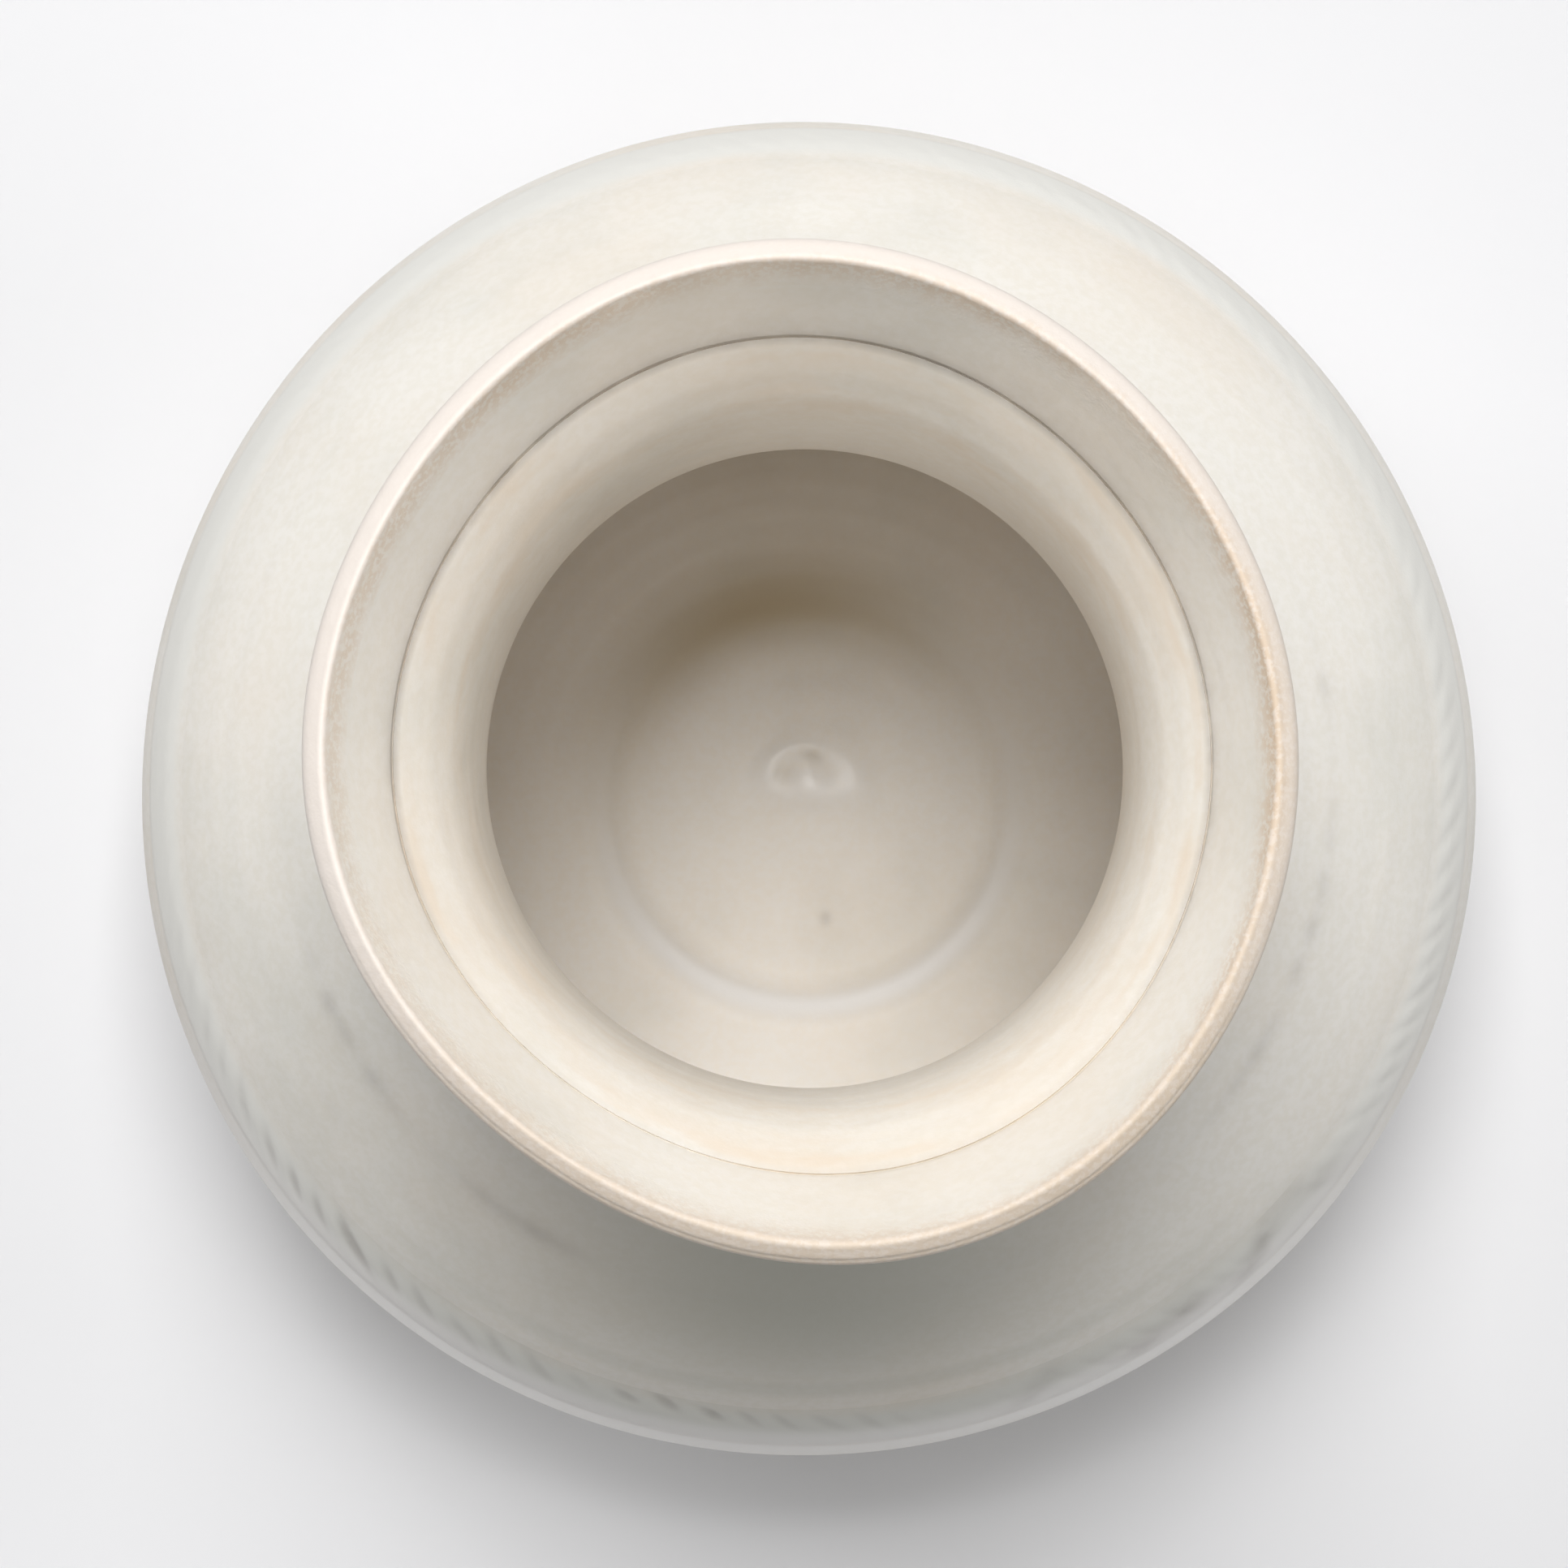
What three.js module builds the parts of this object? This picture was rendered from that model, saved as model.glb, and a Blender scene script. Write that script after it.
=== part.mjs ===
// Gourd vase in pale glazed stoneware, thrown in sections and luted together with slip:
// a foot ring, a lower bowl, a shoulder dome, a neck collar, a mouth flare and a lip bead.
// A strip of cord-impressed clay lies over the belly joint. The other joints show as thin lines.
// Millimetres, +Z up along the throwing axis, the foot rests on Z = 0 and +Y is the back.
import * as THREE from "three";

// Driving dimensions
const LIP_CREST = 217;
const LIP_RADIUS = 61.6;
const THROAT_HEIGHT = 160;
const THROAT_RADIUS = 43;
const BELLY_HEIGHT = 68;
const BELLY_RADIUS = 103;
const FOOT_RADIUS = 47;
const WALL = 6;

// Heights of the joints, each at the lower face of its slip
const SLIP = 0.6;
const FOOT_JOINT = 7;
const BELLY_JOINT = 90;
const SHOULDER_JOINT = 116;
const MOUTH_JOINT = 201;
const LIP_JOINT = 211;

// Groove scored along the lower edge of a joint, the room left around the slip in it, and the
// depth of the line that the joint leaves on the wall
const KEY_HALF_WIDTH = 1.3;
const KEY_DEPTH = 1.5;
const KEY_ROOM = 0.3;
const JOINT_LINE_DEPTH = 0.5;

// Foot ring
const FOOT_WIDTH = 8;
const FOOT_CHAMFER = 1;
const FOOT_SPREAD = 2;
const BASE_OVERHANG = 1;
const BASE_UNDERSIDE = FOOT_JOINT + SLIP;
const BASE_RADIUS = FOOT_RADIUS + FOOT_SPREAD + BASE_OVERHANG;

// Floor: a well with a raised eye, left by the potter's fingers a little off the axis
const FLOOR_HEIGHT = 14;
const FLOOR_RADIUS = 28.5;
const WELL_BRIM_RADIUS = 39;
const WELL_BRIM_HEIGHT = 19;
const WELL_STEEPNESS = 3.5;
const EYE_RADIUS = 8;
const EYE_HEIGHT = 1.6;
const EYE_OFFSET = 6.8;

// Fullness of the wall's curves: how far each one runs on before it bends away
const FOOT_FLARE_OUT = 24;
const FOOT_FLARE_UP = 12.4;
const BELLY_FULL_BELOW = 30;
const BELLY_FULL_ABOVE = 40;
const WAIST_FULL_BELOW = 34;
const WAIST_FULL_ABOVE = 20;
const THROAT_FULL_ABOVE = 24;
const MOUTH_FLARE_IN = 4;
const MOUTH_FLARE_DOWN = 24;

// The ledge that the throat swells into under the mouth joint, and the foot of the mouth above it
const LEDGE_RADIUS = 51.6;
const LEDGE_FLARE_IN = 6.6;
const LEDGE_FLARE_DOWN = 11;
const MOUTH_FOOT_RADIUS = 51.9;

// Lip bead, and the fall of its outer side next to the ridge
const LIP_WIDTH = 5.5;
const LIP_OVERHANG = 0.4;
const LIP_CREST_INSET = 2.8;
const LIP_SIDE_HEIGHT = 2.6;
const LIP_FALL = 0.9;

// Cord-impressed strip in its shallow seat on the belly
const CORD_LOW = 83.5;
const CORD_TOP = 96.5;
const CORD_SEAT_DEPTH = 1.2;
const CORD_PROUD = 1;
const CORD_BEDDING = 0.3;
const CORD_NOTCHES = 108;
const CORD_NOTCH_DEPTH = 1;
const CORD_FACET = 4;
const CORD_NOTCH_TURN = THREE.MathUtils.degToRad(6.5);

// Hand-thrown out-of-round: waves per turn, share of the radius and direction of a crest in degrees
const MOUTH_WAVE_START = 110;
const MOUTH_WAVES = [
  { count: 2, share: 0.022, crest: -67 },
  { count: 3, share: 0.0097, crest: -52 },
  { count: 4, share: 0.009, crest: 9 },
];
const BELLY_WAVES = [{ count: 3, share: 0.004, crest: -17 }];

const FINISHES = {
  glaze: { color: 0xe6e4db, roughness: 0.42, metalness: 0 },
  cord_glaze: { color: 0xd5d7ce, roughness: 0.38, metalness: 0 },
  lip_glaze: { color: 0xeee2d4, roughness: 0.5, metalness: 0 },
  bare_clay: { color: 0xcdb79c, roughness: 0.85, metalness: 0 },
  slip: { color: 0xb4aea3, roughness: 0.7, metalness: 0 },
};

// Columns round a turned section, length of a facet along its wall, facets along a small round, and
// halvings when a height is looked up on a curve
const TURNS = 48;
const FACET = 11;
const ROUND_FACETS = 3;
const HALVINGS = 48;

const at = (radius, height) => new THREE.Vector2(radius, height);

// Outer wall: from the foot joint out to the belly, in to the waist and out again to the lip
const WAIST_RADIUS = THROAT_RADIUS + WALL;
const MOUTH_TOP_RADIUS = LIP_RADIUS - LIP_OVERHANG;
const OUTSIDE = new THREE.Path()
  .moveTo(BASE_RADIUS, BASE_UNDERSIDE)
  .bezierCurveTo(
    BASE_RADIUS + FOOT_FLARE_OUT, BASE_UNDERSIDE + FOOT_FLARE_UP,
    BELLY_RADIUS, BELLY_HEIGHT - BELLY_FULL_BELOW,
    BELLY_RADIUS, BELLY_HEIGHT,
  )
  .bezierCurveTo(
    BELLY_RADIUS, BELLY_HEIGHT + BELLY_FULL_ABOVE,
    WAIST_RADIUS, THROAT_HEIGHT - WAIST_FULL_BELOW,
    WAIST_RADIUS, THROAT_HEIGHT,
  )
  .bezierCurveTo(
    WAIST_RADIUS, THROAT_HEIGHT + WAIST_FULL_ABOVE,
    MOUTH_TOP_RADIUS - MOUTH_FLARE_IN, LIP_JOINT - MOUTH_FLARE_DOWN,
    MOUTH_TOP_RADIUS, LIP_JOINT,
  );

// Inner wall: from the brim of the floor well out to the belly, in to the throat, out over the ledge.
// It bends a wall's thickness sooner than the outer wall does.
const INSIDE = new THREE.Path()
  .moveTo(WELL_BRIM_RADIUS, WELL_BRIM_HEIGHT)
  .bezierCurveTo(
    BASE_RADIUS + FOOT_FLARE_OUT - WALL, BASE_UNDERSIDE + FOOT_FLARE_UP + WALL,
    BELLY_RADIUS - WALL, BELLY_HEIGHT - BELLY_FULL_BELOW,
    BELLY_RADIUS - WALL, BELLY_HEIGHT,
  )
  .bezierCurveTo(
    BELLY_RADIUS - WALL, BELLY_HEIGHT + BELLY_FULL_ABOVE - WALL,
    THROAT_RADIUS, THROAT_HEIGHT - WAIST_FULL_BELOW - WALL,
    THROAT_RADIUS, THROAT_HEIGHT,
  )
  .bezierCurveTo(
    THROAT_RADIUS, THROAT_HEIGHT + THROAT_FULL_ABOVE,
    LEDGE_RADIUS - LEDGE_FLARE_IN, MOUTH_JOINT - LEDGE_FLARE_DOWN,
    LEDGE_RADIUS, MOUTH_JOINT,
  );

// Flared inner wall of the mouth, above the ledge
const LIP_INNER_RADIUS = LIP_RADIUS - LIP_WIDTH;
const MOUTH_INSIDE = new THREE.Path()
  .moveTo(MOUTH_FOOT_RADIUS, MOUTH_JOINT + SLIP)
  .lineTo(LIP_INNER_RADIUS, LIP_JOINT);
const MOUTH_LEAN = (LIP_INNER_RADIUS - MOUTH_FOOT_RADIUS) / (LIP_JOINT - MOUTH_JOINT - SLIP);

// Side of the floor well, hollow at its foot and rounded over at its brim
const WELL_SIDE = new THREE.CubicBezierCurve(
  at(FLOOR_RADIUS, FLOOR_HEIGHT),
  at(FLOOR_RADIUS + WELL_STEEPNESS, FLOOR_HEIGHT),
  at(WELL_BRIM_RADIUS - WELL_STEEPNESS, WELL_BRIM_HEIGHT),
  at(WELL_BRIM_RADIUS, WELL_BRIM_HEIGHT),
);

// Where a rising path passes a height, found by halving its parameter.
function parameterAt(path, height) {
  let low = 0;
  let high = 1;
  for (let i = 0; i < HALVINGS; i += 1) {
    const middle = (low + high) / 2;
    if (path.getPoint(middle).y < height) {
      low = middle;
    } else {
      high = middle;
    }
  }
  return (low + high) / 2;
}

function radiusAt(path, height) {
  return path.getPoint(parameterAt(path, height)).x;
}

// Points along a rising path between two heights, moved out by a distance.
function stretch(path, from, to, out = 0, facet = FACET) {
  const start = parameterAt(path, from);
  const end = parameterAt(path, to);
  const spans = Math.ceil((path.getLength() * (end - start)) / facet);
  const points = [];
  for (let i = 0; i <= spans; i += 1) {
    const point = path.getPoint(start + ((end - start) * i) / spans);
    points.push(at(point.x + out, point.y));
  }
  points[0].y = from;
  points[spans].y = to;
  return points;
}

// A joint of the wall: the height of its lower edge, and its outer and inner radius at a height.
function jointAt(height, seatDepth = 0) {
  return {
    height,
    outer: (level) => radiusAt(OUTSIDE, level) - seatDepth,
    inner: (level) => radiusAt(INSIDE, level),
  };
}

// The scored lower edge of a joint from its outer to its inner end. Room makes the groove narrower
// and shallower, for the slip in it.
function lowerEdge(joint, room = 0) {
  const outer = joint.outer(joint.height);
  const inner = joint.inner(joint.height);
  const middle = (outer + inner) / 2;
  return [
    at(outer, joint.height),
    at(middle + KEY_HALF_WIDTH - room, joint.height),
    at(middle, joint.height - KEY_DEPTH + room),
    at(middle - KEY_HALF_WIDTH + room, joint.height),
    at(inner, joint.height),
  ];
}

// The flat upper edge of a joint, above the slip, from its inner to its outer end.
function upperEdge(joint) {
  const height = joint.height + SLIP;
  return [at(joint.inner(height), height), at(joint.outer(height), height)];
}

const bellyJoint = jointAt(BELLY_JOINT, CORD_SEAT_DEPTH);
const shoulderJoint = jointAt(SHOULDER_JOINT);
const mouthJoint = jointAt(MOUTH_JOINT);
const lipJoint = {
  height: LIP_JOINT,
  outer: () => MOUTH_TOP_RADIUS,
  inner: (level) => LIP_INNER_RADIUS + MOUTH_LEAN * (level - LIP_JOINT),
};

function waveSum(waves, angle) {
  let sum = 0;
  for (const { count, share, crest } of waves) {
    sum += share * Math.cos(count * (angle - THREE.MathUtils.degToRad(crest)));
  }
  return sum;
}

// Share by which the hand-thrown wall stands off its true circle. The mouth's waves grow with the
// square of the height over the shoulder, and the belly's fade out towards the foot and the throat.
function outOfRound(angle, height) {
  const climb = Math.max(height - MOUTH_WAVE_START, 0) / (LIP_CREST - MOUTH_WAVE_START);
  const reach = height < BELLY_HEIGHT ? BELLY_HEIGHT - BASE_UNDERSIDE : THROAT_HEIGHT - BELLY_HEIGHT;
  const belly = 1 - THREE.MathUtils.smoothstep(Math.abs(height - BELLY_HEIGHT), 0, reach);
  return climb ** 2 * waveSum(MOUTH_WAVES, angle) + belly * waveSum(BELLY_WAVES, angle);
}

// A closed profile turned about the axis. change(spot, column, row) may move a point before
// the wall goes out of round.
function turned(name, profile, finish, turns = TURNS, change = null) {
  const geometry = new THREE.LatheGeometry([...profile, profile[0]], turns);
  geometry.rotateX(Math.PI / 2);
  const rows = profile.length + 1;
  const position = geometry.attributes.position;
  const point = new THREE.Vector3();
  const spot = new THREE.Cylindrical();
  for (let i = 0; i < position.count; i += 1) {
    point.fromBufferAttribute(position, i);
    spot.set(Math.hypot(point.x, point.y), Math.atan2(point.y, point.x), point.z);
    if (change) {
      change(spot, Math.floor(i / rows), (i % rows) % profile.length);
    }
    const radius = spot.radius * (1 + outOfRound(spot.theta, spot.y));
    position.setXYZ(i, radius * Math.cos(spot.theta), radius * Math.sin(spot.theta), spot.y);
  }
  geometry.computeVertexNormals();
  const mesh = new THREE.Mesh(geometry, new THREE.MeshStandardMaterial(FINISHES[finish]));
  mesh.name = name;
  return mesh;
}

// The slip in a joint: a thin ring with a rib down into the scored groove, a little behind the wall.
function slipRing(name, joint) {
  const drawnIn = {
    height: joint.height,
    outer: (level) => joint.outer(level) - JOINT_LINE_DEPTH,
    inner: (level) => joint.inner(level) + JOINT_LINE_DEPTH,
  };
  const profile = [...lowerEdge(drawnIn, KEY_ROOM).toReversed(), ...upperEdge(drawnIn).toReversed()];
  return turned(name, profile, "slip");
}

function footRing() {
  const inner = FOOT_RADIUS - FOOT_WIDTH;
  const profile = [
    at(inner + FOOT_CHAMFER, 0),
    at(FOOT_RADIUS - FOOT_CHAMFER, 0),
    at(FOOT_RADIUS, FOOT_CHAMFER),
    at(FOOT_RADIUS + FOOT_SPREAD, FOOT_JOINT),
    at(inner - FOOT_SPREAD, FOOT_JOINT),
    at(inner, FOOT_CHAMFER),
  ];
  return turned("foot_ring", profile, "bare_clay");
}

function footSlip() {
  const inner = FOOT_RADIUS - FOOT_WIDTH - FOOT_SPREAD + JOINT_LINE_DEPTH;
  const outer = FOOT_RADIUS + FOOT_SPREAD - JOINT_LINE_DEPTH;
  const profile = [
    at(inner, FOOT_JOINT),
    at(outer, FOOT_JOINT),
    at(outer, BASE_UNDERSIDE),
    at(inner, BASE_UNDERSIDE),
  ];
  return turned("foot_slip", profile, "slip");
}

// The floor's rings slide towards the back, most at the eye and not at all at the floor's edge.
function slideFloor(spot) {
  if (spot.radius < FLOOR_RADIUS && spot.y > BASE_UNDERSIDE) {
    const slide = EYE_OFFSET * (1 - spot.radius / FLOOR_RADIUS) ** 2;
    const x = spot.radius * Math.cos(spot.theta);
    const y = spot.radius * Math.sin(spot.theta) + slide;
    spot.radius = Math.hypot(x, y);
    spot.theta = Math.atan2(y, x);
  }
}

function lowerBowl() {
  const profile = [
    at(0, BASE_UNDERSIDE),
    ...stretch(OUTSIDE, BASE_UNDERSIDE, CORD_LOW),
    at(radiusAt(OUTSIDE, CORD_LOW) - CORD_SEAT_DEPTH, CORD_LOW),
    ...lowerEdge(bellyJoint),
    ...stretch(INSIDE, WELL_BRIM_HEIGHT, BELLY_JOINT).toReversed().slice(1, -1),
    ...WELL_SIDE.getPoints(ROUND_FACETS + 1).toReversed(),
    at(EYE_RADIUS, FLOOR_HEIGHT),
    at(EYE_RADIUS / 2, FLOOR_HEIGHT + EYE_HEIGHT),
    at(0, FLOOR_HEIGHT + EYE_HEIGHT / 2),
  ];
  return turned("lower_bowl", profile, "glaze", TURNS, slideFloor);
}

function shoulderDome() {
  const profile = [
    ...upperEdge(bellyJoint),
    at(radiusAt(OUTSIDE, CORD_TOP) - CORD_SEAT_DEPTH, CORD_TOP),
    ...stretch(OUTSIDE, CORD_TOP, SHOULDER_JOINT).slice(0, -1),
    ...lowerEdge(shoulderJoint),
    ...stretch(INSIDE, BELLY_JOINT + SLIP, SHOULDER_JOINT).toReversed().slice(1, -1),
  ];
  return turned("shoulder_dome", profile, "glaze");
}

function neckCollar() {
  const profile = [
    ...upperEdge(shoulderJoint),
    ...stretch(OUTSIDE, SHOULDER_JOINT + SLIP, MOUTH_JOINT).slice(1, -1),
    ...lowerEdge(mouthJoint),
    ...stretch(INSIDE, SHOULDER_JOINT + SLIP, MOUTH_JOINT).toReversed().slice(1, -1),
  ];
  return turned("neck_collar", profile, "glaze");
}

function mouthFlare() {
  const profile = [
    ...upperEdge(mouthJoint).slice(1),
    ...stretch(OUTSIDE, MOUTH_JOINT + SLIP, LIP_JOINT).slice(1, -1),
    ...lowerEdge(lipJoint),
    ...stretch(MOUTH_INSIDE, MOUTH_JOINT + SLIP, LIP_JOINT).toReversed().slice(1),
  ];
  return turned("mouth_flare", profile, "glaze");
}

// A rolled bead: its outer side falls away from a ridge and rounds over to upright, and its inner
// side runs on straight from the mouth's wall to the ridge.
function lipBead() {
  const crest = LIP_RADIUS - LIP_CREST_INSET;
  const side = LIP_JOINT + LIP_SIDE_HEIGHT;
  const run = LIP_CREST_INSET / 2;
  const outerRoll = new THREE.CubicBezierCurve(
    at(LIP_RADIUS, side),
    at(LIP_RADIUS, (side + LIP_CREST) / 2),
    at(crest + run, LIP_CREST - LIP_FALL * run),
    at(crest, LIP_CREST),
  );
  const profile = [
    ...upperEdge(lipJoint),
    ...outerRoll.getPoints(ROUND_FACETS),
  ];
  return turned("lip_bead", profile, "lip_glaze");
}

// The strip's outer face is notched like a laid cord: every other column is a notch, and the
// columns lean so that the notches climb to the left seen from outside.
function cordBand() {
  const top = CORD_TOP - CORD_BEDDING;
  const back = stretch(OUTSIDE, CORD_LOW, top, CORD_BEDDING - CORD_SEAT_DEPTH);
  const face = stretch(OUTSIDE, CORD_LOW, top, CORD_PROUD, CORD_FACET);
  face[0].x -= CORD_PROUD;
  face.at(-1).x -= CORD_PROUD / 2;
  const middle = (CORD_LOW + top) / 2;
  const leanAndNotch = (spot, column, row) => {
    const onFace = row > 0 && row < face.length - 1;
    if (onFace && column % 2 === 1) {
      spot.radius -= CORD_NOTCH_DEPTH;
    }
    spot.theta -= (CORD_NOTCH_TURN * (spot.y - middle)) / (top - CORD_LOW);
  };
  return turned("cord_band", [...face, ...back.toReversed()], "cord_glaze", 2 * CORD_NOTCHES, leanAndNotch);
}

const vase = new THREE.Group();
vase.add(
  footRing(),
  footSlip(),
  lowerBowl(),
  slipRing("belly_slip", bellyJoint),
  shoulderDome(),
  cordBand(),
  slipRing("shoulder_slip", shoulderJoint),
  neckCollar(),
  slipRing("mouth_slip", mouthJoint),
  mouthFlare(),
  slipRing("lip_slip", lipJoint),
  lipBead(),
);

export default vase;
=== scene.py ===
"""Looks of a gourd vase in pale glazed stoneware, thrown in sections and luted together with slip.

Every section is a turned surface: a profile carried round the throwing axis, pushed in and out along
its own normal by finger marks and cord marks, and drawn out of round as a hand-thrown wall is.
Metres, +Z up along the throwing axis, the foot rests on Z = 0 and +Y is the back.
"""
import math

import bpy
import numpy as np
from bpy.props import FloatProperty, FloatVectorProperty, IntProperty, PointerProperty
from mathutils import Matrix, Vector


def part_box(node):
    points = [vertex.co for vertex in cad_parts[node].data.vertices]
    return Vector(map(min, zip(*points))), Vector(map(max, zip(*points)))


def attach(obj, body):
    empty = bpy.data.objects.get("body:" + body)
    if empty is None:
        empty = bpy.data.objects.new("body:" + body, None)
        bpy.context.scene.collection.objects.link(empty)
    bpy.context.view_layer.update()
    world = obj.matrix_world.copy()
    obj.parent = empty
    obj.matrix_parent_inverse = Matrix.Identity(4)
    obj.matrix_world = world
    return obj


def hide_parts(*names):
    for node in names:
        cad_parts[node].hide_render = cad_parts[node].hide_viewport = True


bl_info = {
    "name": "Gourd Vase",
    "version": (1, 0, 0),
    "blender": (4, 5, 0),
    "location": "3D View > Sidebar > Vase",
    "description": "Turned sections, cord band and glazes of a hand-thrown gourd vase",
    "category": "Object",
}

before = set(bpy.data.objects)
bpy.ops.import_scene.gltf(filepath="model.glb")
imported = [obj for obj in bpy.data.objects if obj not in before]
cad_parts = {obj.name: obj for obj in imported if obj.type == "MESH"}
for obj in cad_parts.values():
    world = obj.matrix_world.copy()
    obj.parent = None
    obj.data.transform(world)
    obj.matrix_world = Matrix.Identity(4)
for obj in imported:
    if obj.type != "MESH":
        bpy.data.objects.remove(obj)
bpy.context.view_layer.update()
TURN = 2 * math.pi


def level(node, end):
    """Height of the lower (0) or upper (1) end of a section of the frame."""
    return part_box(node)[end].z


# Joints of the pot, from the foot up
FOOT_TOP = level("foot_ring", 1)
UNDERSIDE = level("lower_bowl", 0)
BELLY_JOINT = level("lower_bowl", 1)
SHOULDER_FOOT = level("shoulder_dome", 0)
SHOULDER_JOINT = level("shoulder_dome", 1)
NECK_FOOT = level("neck_collar", 0)
MOUTH_JOINT = level("neck_collar", 1)
MOUTH_FOOT = level("mouth_flare", 0)
LIP_JOINT = level("mouth_flare", 1)
LIP_FOOT = level("lip_bead", 0)
LIP_CREST = level("lip_bead", 1)
CORD_LOW = level("cord_band", 0)
CORD_TOP = level("cord_band", 1)

# Fullness of the wall's curves: how far each one runs on before it bends away
FOOT_FLARE = (0.024, 0.0124)
BELLY_FULL_BELOW = 0.030
BELLY_FULL_ABOVE = 0.040
WAIST_FULL_BELOW = 0.034
WAIST_FULL_ABOVE = 0.020
THROAT_FULL_ABOVE = 0.024
MOUTH_FLARE = (0.004, 0.024)
LEDGE_FLARE = (0.0066, 0.011)
WELL_EASE = 0.0035

# Scored groove along the lower edge of a joint, and the room left round the slip in it
KEY_HALF_WIDTH = 0.0013
KEY_DEPTH = 0.0015
KEY_ROOM = 0.0003

# Hand-thrown out-of-round: waves per turn, share of the radius, direction of a crest in degrees
MOUTH_WAVE_START = 0.110
MOUTH_WAVES = ((2, 0.022, -67), (3, 0.0097, -52), (4, 0.009, 9))
BELLY_WAVES = ((3, 0.004, -17),)

# Finger marks of the throwing: pitch along the wall, share of the height, turns wound per pitch
FINGER_MARKS = ((0.0052, 0.45, 1), (0.0083, 0.35, 1), (0.0031, 0.20, 2))

# Share of the finger marks left on the wiped mouth, and the way over which marks fade next to a joint
MOUTH_MARKS = 0.2
MARKS_FADE = 0.004

# Places round the pot where something is strong: direction and half width in degrees, strength
SHOULDER_STAINS = ((207, 7, 0.5), (216, 4, 0.4), (234, 7, 0.5), (241, 3, 0.6), (327, 6, 0.5), (341, 4, 0.6),
                   (352, 5, 0.4), (9, 5, 0.3))
CORD_BITES = ((224, 19, 1.0), (262, 14, 0.8), (300, 9, 0.3), (345, 18, 0.25), (8, 12, 0.2))
SHORT_MARKS = ((262, 15, 1.0),)
CORD_PATCHES = ((291, 3, 0.5), (301, 3, 0.7), (306, 2, 0.8), (314, 4, 1.0), (322, 3, 0.7))
LIP_WORN = ((2, 38, 0.7), (75, 25, 0.3), (128, 28, 0.35), (172, 26, 0.15), (265, 25, 0.1))
LIP_DULL = ((-5, 42, 0.6), (90, 45, 0.1), (180, 45, 0.1), (318, 20, 0.15))
# Painted shade at the back of the well, in brown glaze
WELL_SHADE = ((105, 56, 1.0),)
# Painted shadow of the lip on the front of the shoulder, neck and mouth
FRONT_SHADE = ((270, 27, 0.78),)

# Uneven waves round the pot: seed, slowest and fastest waves per turn
STAIN_BREAKS = (31, 20, 90)
BAND_SWAY = (21, 1, 4)
MARK_SPACING = (11, 3, 40)
PATCH_DRIFT = (17, 8, 40)
LIP_WAVES = (3, 4, 30)
LIP_RIPPLES = (5, 30, 160)
PEACH_DRIFT = (9, 20, 150)

# Warmth of the glaze: share of it in the mouth, and the way below the throat at which it is full
MOUTH_WARMTH = 0.35
THROAT_WARMS = 0.02

# Iron along the shoulder joint: half width, faint line all round, share in the stained places
STAIN_WIDTH = 0.0013
STAIN_FAINT = 0.03
STAIN_SHARE = 0.7

# Breaks in that iron: its middle strength, how far it swings, and its limits
STAIN_EVEN = 0.8
STAIN_SWING = 0.3
STAIN_LIMITS = (0.2, 1.4)

# Buff smears on the ledge: way below the crease, half width and strength of each
LEDGE_SMEARS = ((0.0022, 0.0018, 0.9), (0.013, 0.009, 0.75))

# Painted shade in the crease of the mouth: half width and strength of its dark over and under it
CREASE_OVER = ((0.0012, 0.5), (0.004, 0.25))
CREASE_UNDER = ((0.0006, 0.75),)

# Share of the crease's painted shade that is lost at the front, and where that begins and is full
CREASE_LOST = 0.8
CREASE_FRONT = (0.5, 0.9)

# Heights between which the painted shadow of the lip on the front of the shoulder comes in
SHADE_RISE = (0.094, 0.116)

# Rows of the bowl: along its floor, down its well and under its base
FLOOR_ROWS = 72
WELL_ROWS = 24
BASE_ROWS = 16

# Share of the floor's radius out to which its forms are full, and the way over the brim to full wall marks
FLOOR_EDGE = 0.8
WALL_START = 0.01

# Spiral swirl on the floor: height, pitch, and radii between which it comes in
SWIRL_HEIGHT = 0.00012
SWIRL_PITCH = 0.0095
SWIRL_START = (0.002, 0.008)

# Eye in the floor: shares of its radius for its dome, its rim and the rim's half width; stretch of its oval
EYE_DOME = 0.75
EYE_RIM = (0.72, 0.3)
EYE_OVAL = (0.8, 1.3)

# Lobes of the eye's rim: evenness, height of two lobes, their turn, and swelling towards the front
EYE_LOBES = (0.7, 0.3, 0.9, 0.25)

# Knob and dimples of the eye: place across and behind, half width across and behind, strength
EYE_KNOB = ((0.0, -0.0026), (0.0024, 0.0016), 1.0)
EYE_DIMPLES = (((0.0010, 0.0013), (0.0016, 0.0014), 1.0), ((-0.0040, -0.0006), (0.0013, 0.0014), 0.7))

# Shares of the eye's rim, knob and dimples in its relief, in the milky glaze, whose share on the knob is a
# painted highlight, and in the brown glaze
EYE_RELIEF = (0.8, 0.6, -0.5)
EYE_PALE = (0.45, 0.55, 0.0)
EYE_DEEP = (0.0, 0.0, 0.25)

# Milky ring round the well, strong at the front as a painted highlight: radius, half width, share at the
# back, and where its front begins and is full
PALE_RING = 0.0346
PALE_WIDTH = 0.0020
PALE_BACK = 0.35
PALE_FRONT = (0.4, 0.95)

# Terrace under the ring: way in from it, half width, height
TERRACE = (0.0009, 0.0013, 0.0004)

# Heights over the well's brim between which the well's own glaze ends
WELL_END = (-0.001, 0.006)

# Brown glaze at the back of the well, partly painted shade: way in from the ring, half width, strength
DEEP_POOL_AND_SHADE = (0.0012, 0.0075, 0.9)

# Brown bands up the wall, at the back only and partly painted shade: strength, contrast, pitch, sway, and the
# way past the brim at which they are full
DEEP_BANDS = (0.2, 0.2, 0.0046, 1.5)
BANDS_START = 0.004

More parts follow.
